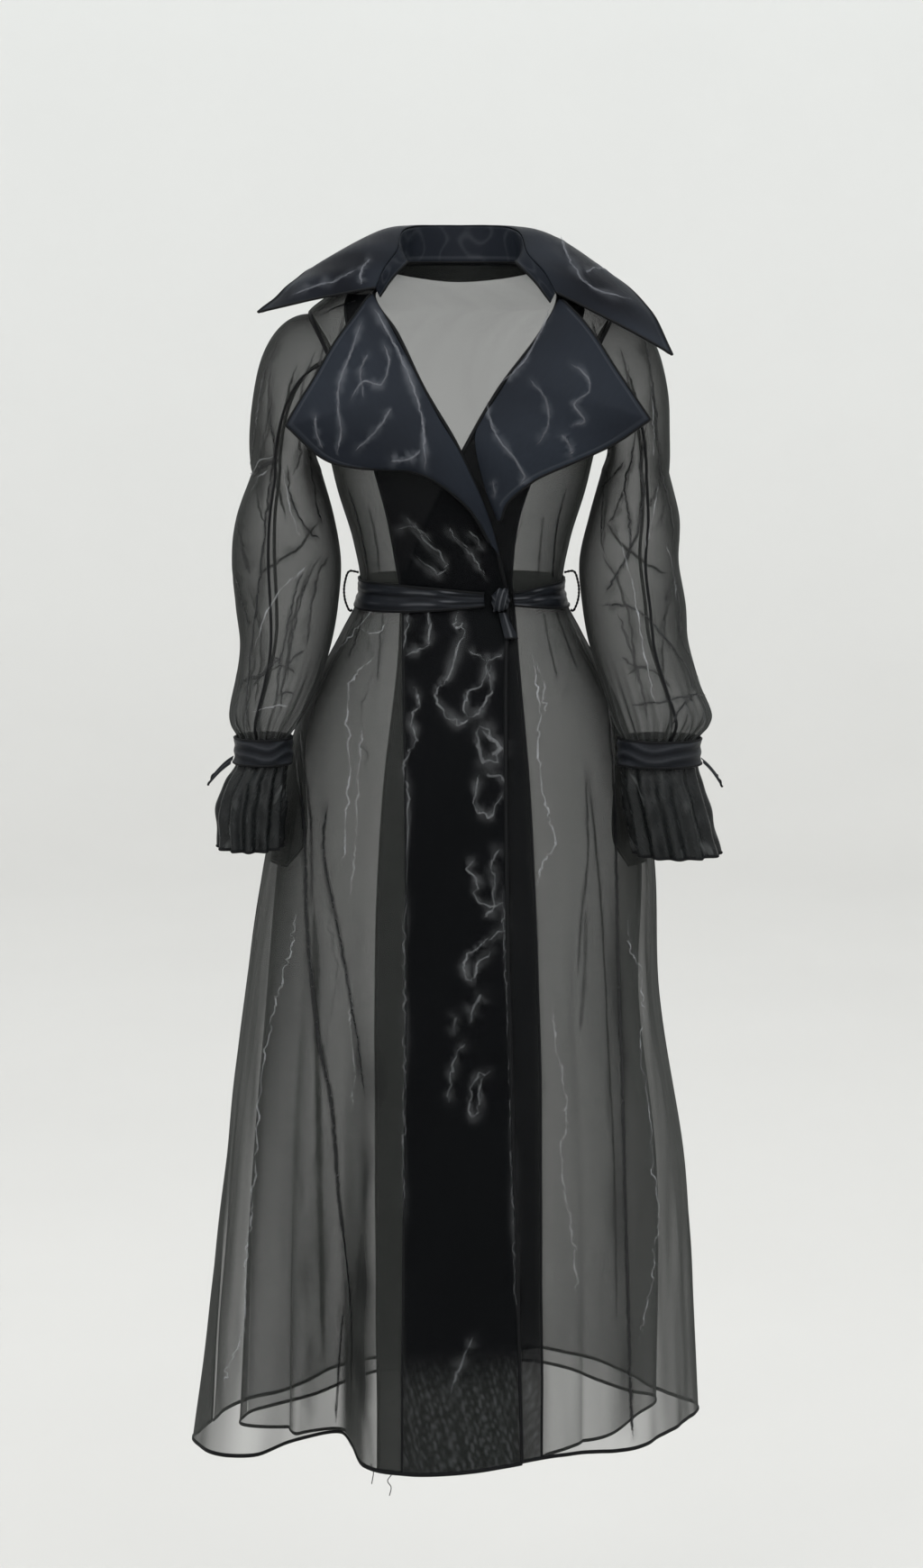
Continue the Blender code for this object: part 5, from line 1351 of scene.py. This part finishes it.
# ---------------------------------------------------------------- stage
CAMERA_AT, CAMERA_DOWN, LENS_MM = (0.0, -4.2, 0.05), 8.8, 84.37
FLOOR, CEILING = -1.95, 4.4
ROOM, SWEEP = 9.5, 2.6     # radius of the backdrop, and of its sweep up to the wall
TURNS, SWEEP_STEPS = 96, 16


def linked(obj):
    bpy.context.scene.collection.objects.link(obj)
    return obj


def camera():
    data = bpy.data.cameras.new("camera")
    data.sensor_width = 36.0
    data.lens = LENS_MM
    cam = linked(bpy.data.objects.new("camera", data))
    cam.location = CAMERA_AT
    cam.rotation_euler = (math.radians(90.0 - CAMERA_DOWN), 0.0, 0.0)
    bpy.context.scene.camera = cam


def backdrop():
    """Pale round floor that sweeps up into a wall far behind every view."""
    m = Maker("pale_plaster")
    where = m.put("ShaderNodeNewGeometry").outputs["Position"]
    cloudy = m.noise(where, 1.2, 3.0)
    parts = m.put("ShaderNodeSeparateXYZ", {0: where}).outputs
    # painted shade: the plaster's colour darkens steadily from high on the wall down to the floor
    height = m.put("ShaderNodeMapRange", {0: parts[2], 1: -1.9, 2: 1.5}).outputs[0]
    low = m.mixed(cloudy, (0.62, 0.608, 0.59, 1.0), (0.66, 0.648, 0.63, 1.0))
    high = m.mixed(cloudy, (0.85, 0.855, 0.845, 1.0), (0.88, 0.885, 0.875, 1.0))
    m.link(m.mixed(height, low, high), "Base Color")
    m.shader.inputs["Roughness"].default_value = 0.9
    profile = [(0.001, FLOOR), (2.0, FLOOR), (4.5, FLOOR), (ROOM - SWEEP, FLOOR)]
    for step in range(1, SWEEP_STEPS):
        a = math.pi / 2 * step / SWEEP_STEPS
        profile.append((ROOM - SWEEP + SWEEP * math.sin(a),
                        FLOOR + SWEEP - SWEEP * math.cos(a)))
    profile += [(ROOM, FLOOR + SWEEP), (ROOM, 2.4), (ROOM, CEILING)]
    points, faces = [], []
    for row, (reach, z) in enumerate(profile):
        for step in range(TURNS):
            a = 2 * math.pi * step / TURNS
            points.append((reach * math.cos(a), reach * math.sin(a), z))
            beside = (step + 1) % TURNS
            if row < len(profile) - 1:
                faces.append((row * TURNS + step, row * TURNS + beside,
                              (row + 1) * TURNS + beside, (row + 1) * TURNS + step))
    mesh = bpy.data.meshes.new("floor")
    mesh.from_pydata(points, [], faces)
    mesh.shade_smooth()
    mesh.materials.append(m.made)
    linked(bpy.data.objects.new("floor", mesh))


def light(name, place_at, size, power_w, colour, target=(0.0, 0.0, -0.5)):
    data = bpy.data.lights.new(name, "AREA")
    data.shape = "RECTANGLE"
    data.size, data.size_y = size
    data.energy = power_w
    data.color = colour
    obj = linked(bpy.data.objects.new(name, data))
    obj.location = place_at
    aim = Vector(target) - Vector(place_at)
    obj.rotation_euler = aim.to_track_quat("-Z", "Y").to_euler()


def studio():
    world = bpy.data.worlds.new("studio")
    world.use_nodes = True
    shade = world.node_tree.nodes["Background"]
    shade.inputs[0].default_value = (0.96, 0.985, 0.99, 1.0)
    shade.inputs[1].default_value = 1.28
    scene = bpy.context.scene
    scene.world = world
    light("overhead", (0.0, -2.8, 3.4), (3.6, 2.2), 95.0, (1.0, 1.0, 0.99), (0.0, 0.4, -0.7))
    light("left", (-1.9, -3.4, 1.3), (1.1, 1.4), 24.0, (1.0, 0.99, 0.96))
    light("right", (1.9, -3.4, 1.1), (1.1, 1.4), 20.0, (0.96, 0.98, 1.0))
    scene.cycles.transparent_max_bounces = 32    # the sheer layers lie many deep
    scene.view_settings.view_transform = "Standard"


def build():
    camera()
    backdrop()
    studio()
    for sign in (RIGHT, LEFT):
        front(sign)
        pocket(sign)
        for part in SLEEVE_PARTS:
            sleeve(sign, part)
        for make in (cuff, strap, strap_tail, lapel, belt_loop):
            make(sign)
    for make in (back, collar, belt, belt_knot, belt_tail):
        make()


build()
